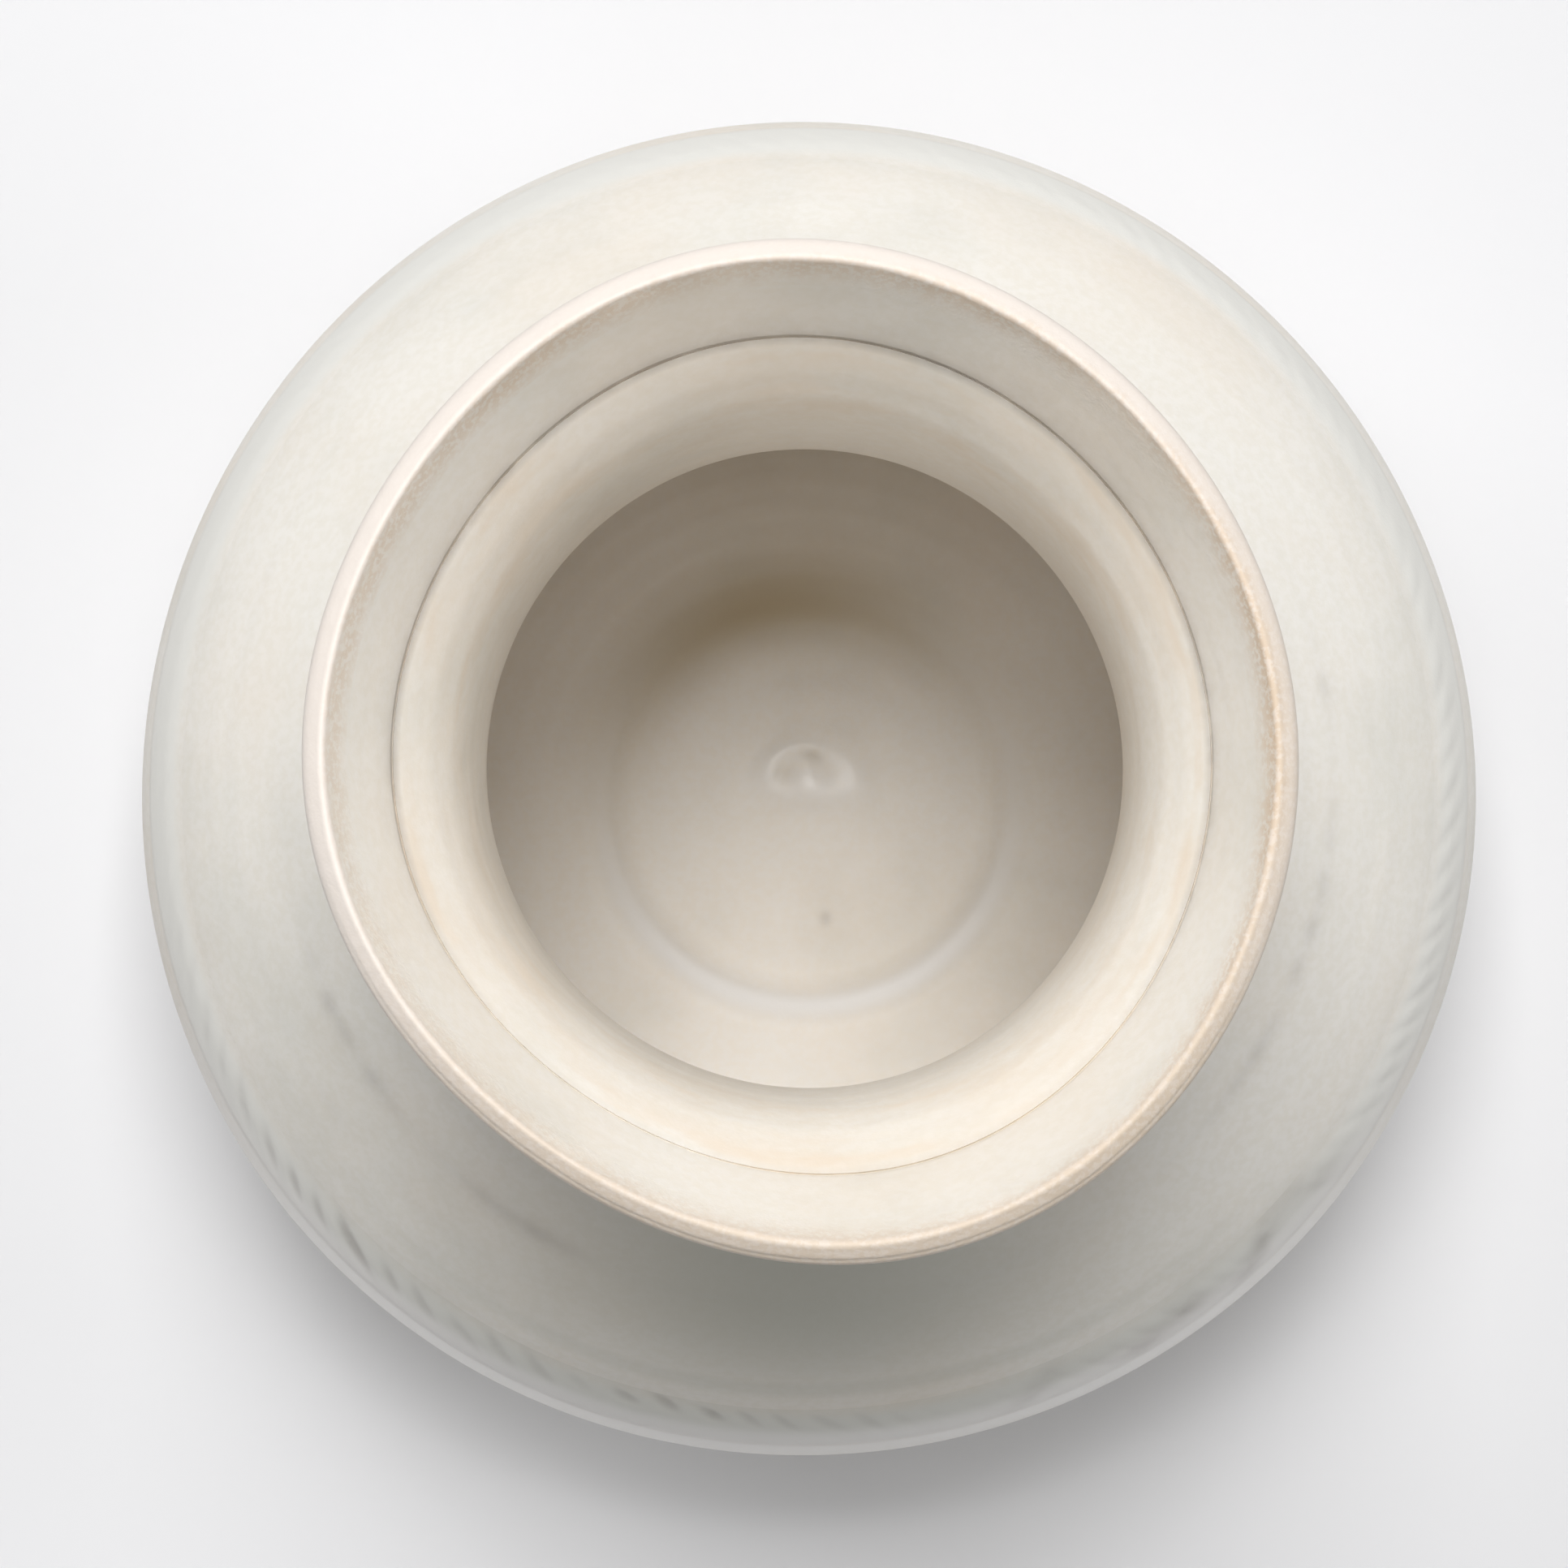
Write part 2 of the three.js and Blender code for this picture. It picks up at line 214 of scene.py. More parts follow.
# Iron speck on the floor: place, half width and strength
SPECK = (0.003, -0.0205)
SPECK_WIDTH = 0.0011
SPECK_DARK = 0.45

# Painted highlight in milky white at the front round the cord band: strength, where the front begins and is
# full
FRONT_HIGHLIGHT = 0.75
HIGHLIGHT_FRONT = (0.6, 0.95)

# Way below the band at which the painted highlight begins, and shares of the band's height between which it
# ends
HIGHLIGHT_BELOW = 0.03
HIGHLIGHT_END = (0.3, 0.65)

# Over the cord band: where the front begins and is full, and half width and strength of the painted shade
# along it
OVER_FRONT = (0.75, 0.98)
OVER_SEAM = ((0.0018, 0.07),)

# Ridge over the band and the painted shade in a line over it: way over the band and half width; strength of
# the line
OVER_RIDGE = (0.0025, 0.001)
OVER_LINE = (0.0045, 0.0011)
OVER_DARK = 0.3

# Cord band: a row about every so far on its face and on its back
FACE_ROW = 0.0003
SEAT_ROW = 0.004

# Shares of the cord band's height over which it swells out of the wall and falls back into it
BAND_RISE = (0.0, 0.25)
BAND_FALL = (0.6, 0.98)

# Cord marks: columns for each, direction of the widest, half width and sway as shares of the pitch
MARK_COLUMNS = 14
WIDEST_MARKS = math.radians(135)
MARK_WIDTH = 0.28
MARK_SWAY = 0.12

# Random cord marks: seed, then least and most strength, height of the middle and half height in the band
MARK_SEED = 7
MARK_STRENGTHS = (0.6, 1.0)
MARK_MIDDLES = (0.56, 0.66)
MARK_REACHES = (0.20, 0.30)

# Short marks: how much higher and shorter they are; and the share of its depth that a faint mark keeps
SHORT_LIFT = 0.22
SHORT_CUT = 0.14
FAINT_MARK = 0.25

# Cool glaze of the band and painted shade along its top: shares of its height where each comes in and ends
COOL_RISE = (0.0, 0.3)
COOL_END = (0.75, 1.0)
TOP_SHADE_RISE = (0.45, 0.7)

# Painted shade along the top of the band at the front: where the front begins and is full, strength
TOP_SHADE_FRONT = (0.7, 0.98)
TOP_SHADE = 0.28

# Iron in the cord marks: strength, and depths of a mark between which it comes in
MARK_IRON = 0.75
MARK_FILL = (0.1, 0.95)

# Iron patches on the band: height, drift and half height as shares of the band, strength
PATCH_HEIGHT = (0.55, 0.12, 0.22)
PATCH_IRON = 0.7

# A row of the mouth's outside about every so far, and rows of its inside
MOUTH_ROW = 0.0008
MOUTH_ROWS = 26

# Lip: columns round it, rows of its roll and its inside, fall of its outer side next to the ridge
LIP_COLUMNS = 600
ROLL_ROWS = 44
LIP_ROWS = 30
LIP_SLOPE = 0.9

# Heights of the lip's waves and ripples
LIP_WAVE = 0.00006
LIP_RIPPLE = 0.00002

# Line turned into the lip's front: way in from the outside, half width, depth
TURNED_LINE = (0.0006, 0.00026, 0.00009)

# Where the front of that line begins and is full, and its dark and the painted shade under the lip
LINE_FRONT = (0.55, 0.85)
LINE_DARK = 0.2
LIP_UNDER = 0.3

# Wear of the lip's glaze: least all round, and most that the worn places add
WORN_LEAST = 0.3
WORN_MOST = 0.7

# Peach line inside the lip's ridge: way in, shift from left to right, drift
PEACH_LINE = (0.0006, 0.0005, 0.00012)

# Half width of the peach line and what wear adds to it, and the way over which its outer side comes in
PEACH_WIDTH = (0.0006, 0.0008)
PEACH_EDGE = (-0.0020, -0.0006)

# Ways out from the lip's ridge: where its own glaze ends inside, and where dull and tan glaze come in
ROLLED_END = (0.0, 0.0008)
DULL_EDGE = (-0.001, 0.0004)
TAN_EDGE = (-0.001, 0.0002)

# Tan of the lip: strength, and where its front begins and is full
TAN = 0.8
TAN_FRONT = (0.6, 1.0)

# Corners: steps of a rounded one, turn from which one is shaded sharp, rounding of the foot
ROUND_STEPS = 11
SHARP_TURN = math.radians(30)
FOOT_ROUND = 0.0004

# Points of a profile nearer than this are one
SAME_PLACE = 1e-7

# Columns round a turned section, a row about every so far along its wall, and the radius left at a pole
TURNS = 400
ROW = 0.0016
POLE = 0.0003


def length(name, description, default):
    """A size that a user may change, in metres."""
    return FloatProperty(name=name, description=description, default=default, min=0.0,
                         unit="LENGTH", precision=4)


def colour(name, description, default):
    """A colour that a user may change, in linear light."""
    return FloatVectorProperty(name=name, description=description, default=default, size=3,
                               min=0.0, max=1.0, subtype="COLOR")


class VaseSizes(bpy.types.PropertyGroup):
    """Sizes of the turned sections."""

    belly_radius: length("Belly radius", "Outside radius where the belly is widest", 0.103)
    belly_height: length("Belly height", "Height of the widest part of the belly", 0.068)
    throat_radius: length("Throat radius", "Inside radius of the narrow throat", 0.043)
    throat_height: length("Throat height", "Height of the narrow throat", 0.160)
    wall: length("Wall", "Thickness of the thrown wall", 0.006)
    base_radius: length("Base radius", "Outside radius where the bowl leaves the foot", 0.050)
    ledge_radius: length("Ledge radius", "Radius of the ledge inside the mouth joint", 0.0516)
    mouth_foot_radius: length("Mouth foot", "Inside radius of the mouth over the ledge", 0.0519)
    lip_radius: length("Lip radius", "Outside radius of the lip bead", 0.0616)
    lip_width: length("Lip width", "Thickness of the lip bead", 0.0055)
    lip_overhang: length("Lip overhang", "How far the bead stands out over the mouth", 0.0004)
    lip_crest_inset: length("Lip crest inset", "From the bead's outside in to its crest", 0.0028)
    lip_side: length("Lip side", "Height of the bead's upright side over its joint", 0.002)
    lip_edge: length("Lip edge", "Rounding of the crest towards the inside", 0.0010)
    foot_radius: length("Foot radius", "Outside radius of the foot where it rests", 0.047)
    foot_width: length("Foot width", "Width of the foot ring", 0.008)
    foot_spread: length("Foot spread", "How far the foot ring widens towards the bowl", 0.002)
    foot_chamfer: length("Foot chamfer", "Trimmed edge of the foot ring", 0.001)
    floor_height: length("Floor height", "Height of the floor inside", 0.014)
    floor_radius: length("Floor radius", "Radius of the flat of the floor", 0.0285)
    brim_radius: length("Well brim radius", "Radius of the brim round the floor's well", 0.039)
    brim_height: length("Well brim height", "Height of the brim round the floor's well", 0.019)
    eye_radius: length("Eye radius", "Radius of the raised eye in the floor", 0.008)
    eye_height: length("Eye height", "Height of the raised eye in the floor", 0.0016)
    eye_swirl: length("Eye swirl", "Height of the finger's swirl on the eye", 0.0006)
    eye_offset: length("Eye offset", "How far the eye lies behind the axis", 0.0068)
    finger_mark: length("Finger marks", "Height of the throwing marks on the wall", 0.00007)
    crease_depth: length("Crease depth", "Depth of the crease between ledge and mouth", 0.0005)


class CordSizes(bpy.types.PropertyGroup):
    """Sizes of the cord-impressed band round the belly."""

    marks: IntProperty(name="Marks", description="Cord marks round the belly", default=108, min=8)
    lean: FloatProperty(name="Lean", description="Turn of a mark from the band's foot to its top",
                        default=math.radians(6.5), subtype="ANGLE")
    proud: length("Proud", "How far the band stands out from the wall", 0.0004)
    seat: length("Seat", "Depth of the seat that the band lies in", 0.0012)
    bedding: length("Bedding", "Gap left between the band and its seat", 0.0003)
    depth: length("Mark depth", "Depth of a cord mark", 0.00042)
    ridge: length("Ridge", "Height of the ridge over the band at the front", 0.00022)
    spread: FloatProperty(name="Spread", description="Marks by which the wider ones run ahead", default=1.9)


class VaseColours(bpy.types.PropertyGroup):
    """Colours of the glazes, the bare clay and the stage."""

    glaze: colour("Glaze", "Pale celadon white of the outside", (0.905, 0.872, 0.80))
    inside: colour("Inside glaze", "Warmer glaze inside the belly", (0.975, 0.92, 0.84))
    buff: colour("Buff", "Buff where the glaze is thin", (0.87, 0.73, 0.575))
    band: colour("Band glaze", "Cool grey green of the cord band", (0.865, 0.853, 0.805))
    # Grey green of thick glaze, which also paints the shade on the front of the shoulder, over and along the
    # top of the cord band and under the lip
    pooled_and_shade: colour("Pooled glaze", "Grey green where the glaze runs thick", (0.565, 0.565, 0.495))
    # Milky white, which also paints the highlights on the front of the well's ring, on the eye's knob and at
    # the front round the cord band
    pale: colour("Pale ring", "Milky white where the glaze has run together", (0.99, 0.965, 0.935))
    # Brown of thick glaze, which also paints the shade at the back of the well
    deep_and_shade: colour("Deep glaze", "Brown where the glaze lies thick in the well", (0.48, 0.385, 0.24))
    # Grey brown of iron, which also paints the shade in the crease of the mouth
    iron: colour("Iron stain", "Grey brown of iron in the clay", (0.19, 0.15, 0.125))
    lip: colour("Lip glaze", "Pinkish white of the lip", (0.88, 0.81, 0.75))
    peach: colour("Peach", "Granular peach where the lip's glaze is thin", (0.75, 0.59, 0.44))
    worn: colour("Worn lip", "Tan of the lip's worn front", (0.73, 0.61, 0.48))
    clay: colour("Bare clay", "Unglazed stoneware of the foot", (0.50, 0.36, 0.235))
    clay_dark: colour("Dark clay", "Toasted patches of the bare clay", (0.30, 0.19, 0.11))
    slip: colour("Slip", "Glazed slip in the joints", (0.90, 0.882, 0.825))
    floor: colour("Floor", "Pale floor under the vase", (0.855, 0.855, 0.87))


def cubic(start, lead, trail, end, count=160):
    """Cubic curve: four points weighted by (1-t)^3, 3t(1-t)^2, 3t^2(1-t) and t^3, for t from 0 to 1."""
    t = np.linspace(0.0, 1.0, count)[:, None]
    weights = np.hstack([(1 - t) ** 3, 3 * t * (1 - t) ** 2, 3 * t ** 2 * (1 - t), t ** 3])
    return weights @ np.array([start, lead, trail, end])


def line(start, end, count=2):
    """Straight stretch from one point to another in equal steps."""
    return np.linspace(start, end, count)


def distances(curve):
    """Distance of each point from the start, measured along the curve."""
    steps = np.linalg.norm(np.diff(curve, axis=0), axis=1)
    return np.concatenate([[0.0], np.cumsum(steps)])


def between(curve, low, high, out=0.0, row=ROW):
    """Stretch of a rising curve between two heights, moved out, in equal steps along the curve."""
    along = distances(curve)
    first, last = np.interp([low, high], curve[:, 1], along)
    steps = np.linspace(first, last, max(int((last - first) / row), 2) + 1)
    radius = np.interp(steps, along, curve[:, 0]) + out
    return np.column_stack([radius, np.interp(steps, along, curve[:, 1])])


def radius_at(curve, height):
    """Radius of a rising curve at a height."""
    return np.interp(height, curve[:, 1], curve[:, 0])


def trimmed(stretch, first, last):
    """A stretch without a bit at its start and its end."""
    along = distances(stretch)
    cuts = [first, along[-1] - last]
    ends = np.column_stack([np.interp(cuts, along, stretch[:, 0]), np.interp(cuts, along, stretch[:, 1])])
    inner = stretch[(along > cuts[0] + SAME_PLACE) & (along < cuts[1] - SAME_PLACE)]
    return np.vstack([ends[:1], inner, ends[1:]])


def joined(stretches, corner=0.0, closed=True):
    """Stretches end to end: where two meet they share a point, or stop short and a parabola rounds it."""
    corners = np.broadcast_to(corner, len(stretches))
    shorter = [trimmed(stretch, corners[place - 1], corners[place])
               for place, stretch in enumerate(stretches)]
    t = np.linspace(0.0, 1.0, ROUND_STEPS + 2)[1:-1, None]
    rows = []
    for place, stretch in enumerate(shorter):
        last = not closed and place + 1 == len(shorter)
        rows.append(stretch if last or corners[place] > 0 else stretch[:-1])
        if corners[place] > 0 and not last:
            after = shorter[(place + 1) % len(shorter)]
            turn = stretches[place][-1]
            rows.append((1 - t) ** 2 * stretch[-1] + 2 * t * (1 - t) * turn + t ** 2 * after[0])
    return np.vstack(rows)


def outer_wall(sizes):
    """Outside from the base to the lip joint: curves out to the belly, in to the waist and out again."""
    base_r, belly_r = sizes.base_radius, sizes.belly_radius
    waist_r, mouth_r = sizes.throat_radius + sizes.wall, sizes.lip_radius - sizes.lip_overhang
    belly_z, throat_z = sizes.belly_height, sizes.throat_height
    return np.vstack([
        cubic((base_r, UNDERSIDE), (base_r + FOOT_FLARE[0], UNDERSIDE + FOOT_FLARE[1]),
              (belly_r, belly_z - BELLY_FULL_BELOW), (belly_r, belly_z)),
        cubic((belly_r, belly_z), (belly_r, belly_z + BELLY_FULL_ABOVE),
              (waist_r, throat_z - WAIST_FULL_BELOW), (waist_r, throat_z))[1:],
        cubic((waist_r, throat_z), (waist_r, throat_z + WAIST_FULL_ABOVE),
              (mouth_r - MOUTH_FLARE[0], LIP_JOINT - MOUTH_FLARE[1]), (mouth_r, LIP_JOINT))[1:],
    ])


def inner_wall(sizes):
    """Inside from the well's brim to the mouth joint: it bends a wall's thickness sooner than the outside."""
    wall = sizes.wall
    flare = (sizes.base_radius + FOOT_FLARE[0] - wall, UNDERSIDE + FOOT_FLARE[1] + wall)
    belly_r, belly_z = sizes.belly_radius - wall, sizes.belly_height
    throat_r, throat_z = sizes.throat_radius, sizes.throat_height
    return np.vstack([
        cubic((sizes.brim_radius, sizes.brim_height), flare,
              (belly_r, belly_z - BELLY_FULL_BELOW), (belly_r, belly_z)),
        cubic((belly_r, belly_z), (belly_r, belly_z + BELLY_FULL_ABOVE - wall),
              (throat_r, throat_z - WAIST_FULL_BELOW - wall), (throat_r, throat_z))[1:],
        cubic((throat_r, throat_z), (throat_r, throat_z + THROAT_FULL_ABOVE),
              (sizes.ledge_radius - LEDGE_FLARE[0], MOUTH_JOINT - LEDGE_FLARE[1]),
              (sizes.ledge_radius, MOUTH_JOINT))[1:],
    ])


def mouth_wall(sizes, height):
    """Inside radius of the mouth at a height: straight from the mouth's foot to the lip joint and on."""
    lean = (sizes.lip_radius - sizes.lip_width - sizes.mouth_foot_radius) / (LIP_JOINT - MOUTH_FOOT)
    return sizes.mouth_foot_radius + lean * (height - MOUTH_FOOT)


def scored_edge(outer, inner, height, room=0.0):
    """Lower edge of a joint from its outer to its inner end: flat, with a V groove along its middle."""
    middle = (outer + inner) / 2
    half = KEY_HALF_WIDTH - room
    return np.array([
        [outer, height],
        [middle + half, height],
        [middle, height - KEY_DEPTH + room],
        [middle - half, height],
        [inner, height],
    ])


def smooth(value, low, high):
    """Smoothstep: 0 below the first value, 1 over the second and 3t^2 - 2t^3 between them."""
    t = np.clip((value - low) / (high - low), 0.0, 1.0)
    return t * t * (3 - 2 * t)


def bump(value, middle, width):
    """Bell curve: exp(-((value - middle) / width)^2)."""
    return np.exp(-((value - middle) / width) ** 2)


def wave_sum(waves, theta):
    """Sum of share * cos(count * (angle - crest)) over the waves."""
    return sum(share * np.cos(count * (theta - math.radians(crest))) for count, share, crest in waves)


def out_of_round(sizes, theta, height):
    """Share off the circle: mouth waves grow as the square of the climb, belly waves fade from the belly."""
    climb = np.maximum(height - MOUTH_WAVE_START, 0.0) / (LIP_CREST - MOUTH_WAVE_START)
    below, above = sizes.belly_height - UNDERSIDE, sizes.throat_height - sizes.belly_height
    reach = np.where(height < sizes.belly_height, below, above)
    belly = 1 - smooth(np.abs(height - sizes.belly_height) / reach, 0.0, 1.0)
    return climb ** 2 * wave_sum(MOUTH_WAVES, theta) + belly * wave_sum(BELLY_WAVES, theta)


def waver(theta, seed, slowest, fastest):
    """Random wave round the pot of about unit size: seeded cosines of whole waves, falling as 1/sqrt(n)."""
    counts = np.arange(slowest, fastest + 1)[:, None]
    phases = np.random.default_rng(seed).uniform(0.0, TURN, counts.shape)
    weights = 1 / np.sqrt(counts)
    wave = (weights * np.cos(counts * np.ravel(theta) + phases)).sum(axis=0)
    return (wave / math.sqrt((weights ** 2).sum() / 2)).reshape(np.shape(theta))


def patches(theta, regions):
    """Sum of bell curves round the pot, each strength * exp(-((angle - direction) / half width)^2)."""
    total = 0.0
    for direction, half, strength in regions:
        turn = (theta - math.radians(direction) + math.pi) % TURN - math.pi
        total = total + strength * bump(turn, 0.0, math.radians(half))
    return total


def frontness(theta):
    """1 at the front of the pot, 0 at its back: (1 - sin(angle)) / 2."""
    return 0.5 - 0.5 * np.sin(theta)


def finger_marks(theta, along):
    """Spiral throwing marks: sines of the way along the wall, each wound whole turns per pitch."""
    marks = 0.0
    for pitch, share, turns in FINGER_MARKS:
        marks = marks + share * np.sin(TURN * along / pitch - turns * theta)
    return marks


def wall_marks(sizes, grid, low, high):
    """Throwing marks of a wall, which fade to nothing at the joints below and above it."""
    clear = smooth(grid.height, low, low + MARKS_FADE) * (1 - smooth(grid.height, high - MARKS_FADE, high))
    return sizes.finger_mark * clear * finger_marks(grid.theta, grid.along)


class Turned:
    """Grid of a turned surface: a row for each point of the profile and a column for each direction."""

    def __init__(self, profile, columns=TURNS, closed=True):
        if closed:
            slope = np.roll(profile, -1, axis=0) - np.roll(profile, 1, axis=0)
        else:
            slope = np.gradient(profile, axis=0)
        slope = slope / np.linalg.norm(slope, axis=1)[:, None]
        self.closed = closed
        self.theta = np.linspace(0.0, TURN, columns, endpoint=False)[None, :]
        self.radius = np.repeat(profile[:, :1], columns, axis=1)
        self.height = np.repeat(profile[:, 1:], columns, axis=1)
        self.along = np.repeat(distances(profile)[:, None], columns, axis=1)
        self.normal = np.stack([slope[:, 1], -slope[:, 0]])[:, :, None]
        self.relief = np.zeros_like(self.radius)

    def points(self, sizes, slide=None):
        """Profile plus relief along its normal, out of round, turned to x = r cos, y = r sin, z."""
        radius = self.radius + self.relief * self.normal[0]
        height = self.height + self.relief * self.normal[1]
        radius = radius * (1 + out_of_round(sizes, self.theta, height))
        back = 0.0 if slide is None else slide(radius)
        return np.stack([radius * np.cos(self.theta), radius * np.sin(self.theta) + back, height], axis=-1)


def grid_faces(rows, columns, closed):
    """Quads between neighbouring rows and columns, which wrap round, and fans to an open profile's poles."""
    index = np.arange(rows * columns).reshape(rows, columns)
    lower = index if closed else index[:-1]
    upper = np.roll(index, -1, axis=0) if closed else index[1:]
    quads = np.stack([lower, np.roll(lower, -1, axis=1), np.roll(upper, -1, axis=1), upper], axis=-1)
    faces = quads.reshape(-1, 4).tolist()
    if not closed:
        start = np.full(columns, rows * columns)
        first, last = index[0], index[-1]
        faces += np.stack([start, np.roll(first, -1), first], axis=-1).tolist()
        faces += np.stack([last, np.roll(last, -1), start + 1], axis=-1).tolist()
    return faces


def turned_object(name, grid, points, masks):
    """Mesh object of a turned grid, with each mask and the way along the profile as point attributes."""
    rows, columns = points.shape[:2]
    places = points.reshape(-1, 3)
    layers = {"along": grid.along, **masks}
    values = {key: np.broadcast_to(layer, (rows, columns)).ravel() for key, layer in layers.items()}
    if not grid.closed:
        places = np.vstack([places, points[0].mean(axis=0), points[-1].mean(axis=0)])
        values = {key: np.append(value, value[[0, -1]]) for key, value in values.items()}
    mesh = bpy.data.meshes.new(name)
    mesh.from_pydata(places.tolist(), [], grid_faces(rows, columns, grid.closed))
    for key, value in values.items():
        layer = mesh.attributes.new(key, "FLOAT", "POINT")
        layer.data.foreach_set("value", value.astype(np.float32))
    mesh.shade_smooth()
    mesh.set_sharp_from_angle(angle=SHARP_TURN)
    mesh.update()
    piece = bpy.data.objects.new(name, mesh)
    bpy.context.scene.collection.objects.link(piece)
    return piece


def fit(piece, node, material):
    """Gives a piece its finish and puts it in the place of its section of the frame."""
    piece.data.materials.append(material)
    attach(piece, "root")
    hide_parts(node)


def inside_mask(sizes, grid):
    """1 on the inner side of the wall and on the floor, 0 on the outside."""
    outer, inner = outer_wall(sizes), inner_wall(sizes)
    middle = (radius_at(outer, grid.height) + radius_at(inner, grid.height)) / 2
    over_floor = grid.height > sizes.floor_height - sizes.eye_height / 2
    return ((grid.radius < middle) & over_floor).astype(float)


def bells(value, widths):
    """Sum of bell curves about nought, each strength * exp(-(value / half width)^2)."""
    return sum(strength * bump(value, 0.0, half) for half, strength in widths)


def wall_masks(sizes, grid):
    """Masks of a glazed wall: warmth and smears inside, painted shadow of the lip at the front, iron in the
    joints and painted shade in the mouth's crease.
    """
    inside = inside_mask(sizes, grid)
    outside = 1 - inside
    cooler = smooth(grid.height, sizes.throat_height - THROAT_WARMS, MOUTH_JOINT)
    below = MOUTH_JOINT - grid.height
    ledge = sum(strength * bump(below, middle, half) for middle, half, strength in LEDGE_SMEARS)
    joint = bump(grid.height, (SHOULDER_JOINT + NECK_FOOT) / 2, STAIN_WIDTH)
    broken = np.clip(STAIN_EVEN + STAIN_SWING * waver(grid.theta, *STAIN_BREAKS), *STAIN_LIMITS)
    stains = STAIN_FAINT + STAIN_SHARE * broken * patches(grid.theta, SHOULDER_STAINS)
    # Painted shade in the crease of the mouth, in the iron colour, weaker at the front
    crease = np.where(below < 0, bells(below, CREASE_OVER), bells(below, CREASE_UNDER))
    crease = crease * (1 - CREASE_LOST * smooth(frontness(grid.theta), *CREASE_FRONT))
    return {
        "warm": inside * (1 - (1 - MOUTH_WARMTH) * cooler),
        "smear": inside * ledge,
        # Painted shadow of the lip on the outside at the front
        "pool_and_shade": outside * patches(grid.theta, FRONT_SHADE) * smooth(grid.height, *SHADE_RISE),
        "pale": np.zeros_like(grid.radius),
        "deep_and_shade": np.zeros_like(grid.radius),
        "stain_and_shade": outside * joint * np.minimum(stains, 1.0) + inside * crease,
    }


def socket_or_value(tree, socket, value):
    """Links a socket to another one, or sets its value."""
    if isinstance(value, bpy.types.NodeSocket):
        tree.links.new(value, socket)
    else:
        socket.default_value = value


def add(tree, kind, inputs=None, **settings):
    """A node with its settings and its inputs, which are values or sockets to link from."""
    made = tree.nodes.new(kind)
    for key, value in settings.items():
        setattr(made, key, value)
    for key, value in (inputs or {}).items():
        socket_or_value(tree, made.inputs[key], value)
    return made


def calculate(tree, operation, first, second):
    """One step of arithmetic between two values."""
    return add(tree, "ShaderNodeMath", {0: first, 1: second}, operation=operation).outputs[0]


def times(tree, first, second):
    """Product of two values."""
    return calculate(tree, "MULTIPLY", first, second)


def ease(tree, value, low, high, start=0.0, end=1.0):
    """Smoothstep of a value from one range to another."""
    inputs = {"Value": value, "From Min": low, "From Max": high, "To Min": start, "To Max": end}
    return add(tree, "ShaderNodeMapRange", inputs, interpolation_type="SMOOTHSTEP").outputs[0]


def graded(tree, mask, start, end):
    """Smoothstep of a mask to a range of values."""
    return ease(tree, mask, 0.0, 1.0, start, end)


def tint(tree, factor, under, over):
    """A colour laid over another by a factor; each is a colour or a socket."""
    mixer = add(tree, "ShaderNodeMix", {0: factor}, data_type="RGBA")
    for place, shade in ((6, under), (7, over)):
        linked = isinstance(shade, bpy.types.NodeSocket)
        socket_or_value(tree, mixer.inputs[place], shade if linked else (*shade, 1.0))
    return mixer.outputs[2]


def attribute(tree, name):
    """Value of one of the piece's own attributes."""
    return add(tree, "ShaderNodeAttribute", attribute_name=name).outputs["Fac"]


def new_group(name, inputs, outputs):
    """Empty shader node group with named number inputs and outputs; returns it, its inlet and its outlet."""
    group = bpy.data.node_groups.new(name, "ShaderNodeTree")
    for key, value in inputs.items():
        group.interface.new_socket(key, in_out="INPUT", socket_type="NodeSocketFloat").default_value = value
    for key in outputs:
        group.interface.new_socket(key, in_out="OUTPUT", socket_type="NodeSocketFloat")
    inlet = group.nodes.new("NodeGroupInput").outputs
    outlet = group.nodes.new("NodeGroupOutput").inputs
    return group, inlet, outlet


def clouds_group():
    """Mask of soft clouds: noise on the object's own coordinates, eased between two levels."""
    group, inlet, outlet = new_group("glaze_clouds", {"Scale": 20.0, "Low": 0.45, "High": 0.7}, ["Mask"])
    place = group.nodes.new("ShaderNodeTexCoord").outputs["Object"]
    noise = add(group, "ShaderNodeTexNoise",
                {"Vector": place, "Scale": inlet["Scale"], "Detail": 4.0, "Roughness": 0.55})
    mask = ease(group, noise.outputs["Fac"], inlet["Low"], inlet["High"])
    group.links.new(mask, outlet["Mask"])
    return group


def smears_group():
    """Mask of smears along the turning: noise on the direction round the axis and the way along the wall."""
    inputs = {"Around": 3.0, "Along": 300.0, "Low": 0.45, "High": 0.65}
    group, inlet, outlet = new_group("turned_smears", inputs, ["Mask"])
    place = group.nodes.new("ShaderNodeTexCoord").outputs["Object"]
    flat = add(group, "ShaderNodeVectorMath", {0: place, 1: (1.0, 1.0, 0.0)}, operation="MULTIPLY")
    around = add(group, "ShaderNodeVectorMath", {0: flat.outputs[0]}, operation="NORMALIZE")
    wound = {0: around.outputs[0], "Scale": inlet["Around"]}
    ring = add(group, "ShaderNodeVectorMath", wound, operation="SCALE")
    climb = times(group, attribute(group, "along"), inlet["Along"])
    up = add(group, "ShaderNodeCombineXYZ", {"Z": climb})
    spot = add(group, "ShaderNodeVectorMath", {0: ring.outputs[0], 1: up.outputs[0]}, operation="ADD")
    noise = add(group, "ShaderNodeTexNoise",
                {"Vector": spot.outputs[0], "Scale": 1.0, "Detail": 3.0, "Roughness": 0.6})
    mask = ease(group, noise.outputs["Fac"], inlet["Low"], inlet["High"])
    group.links.new(mask, outlet["Mask"])
    return group


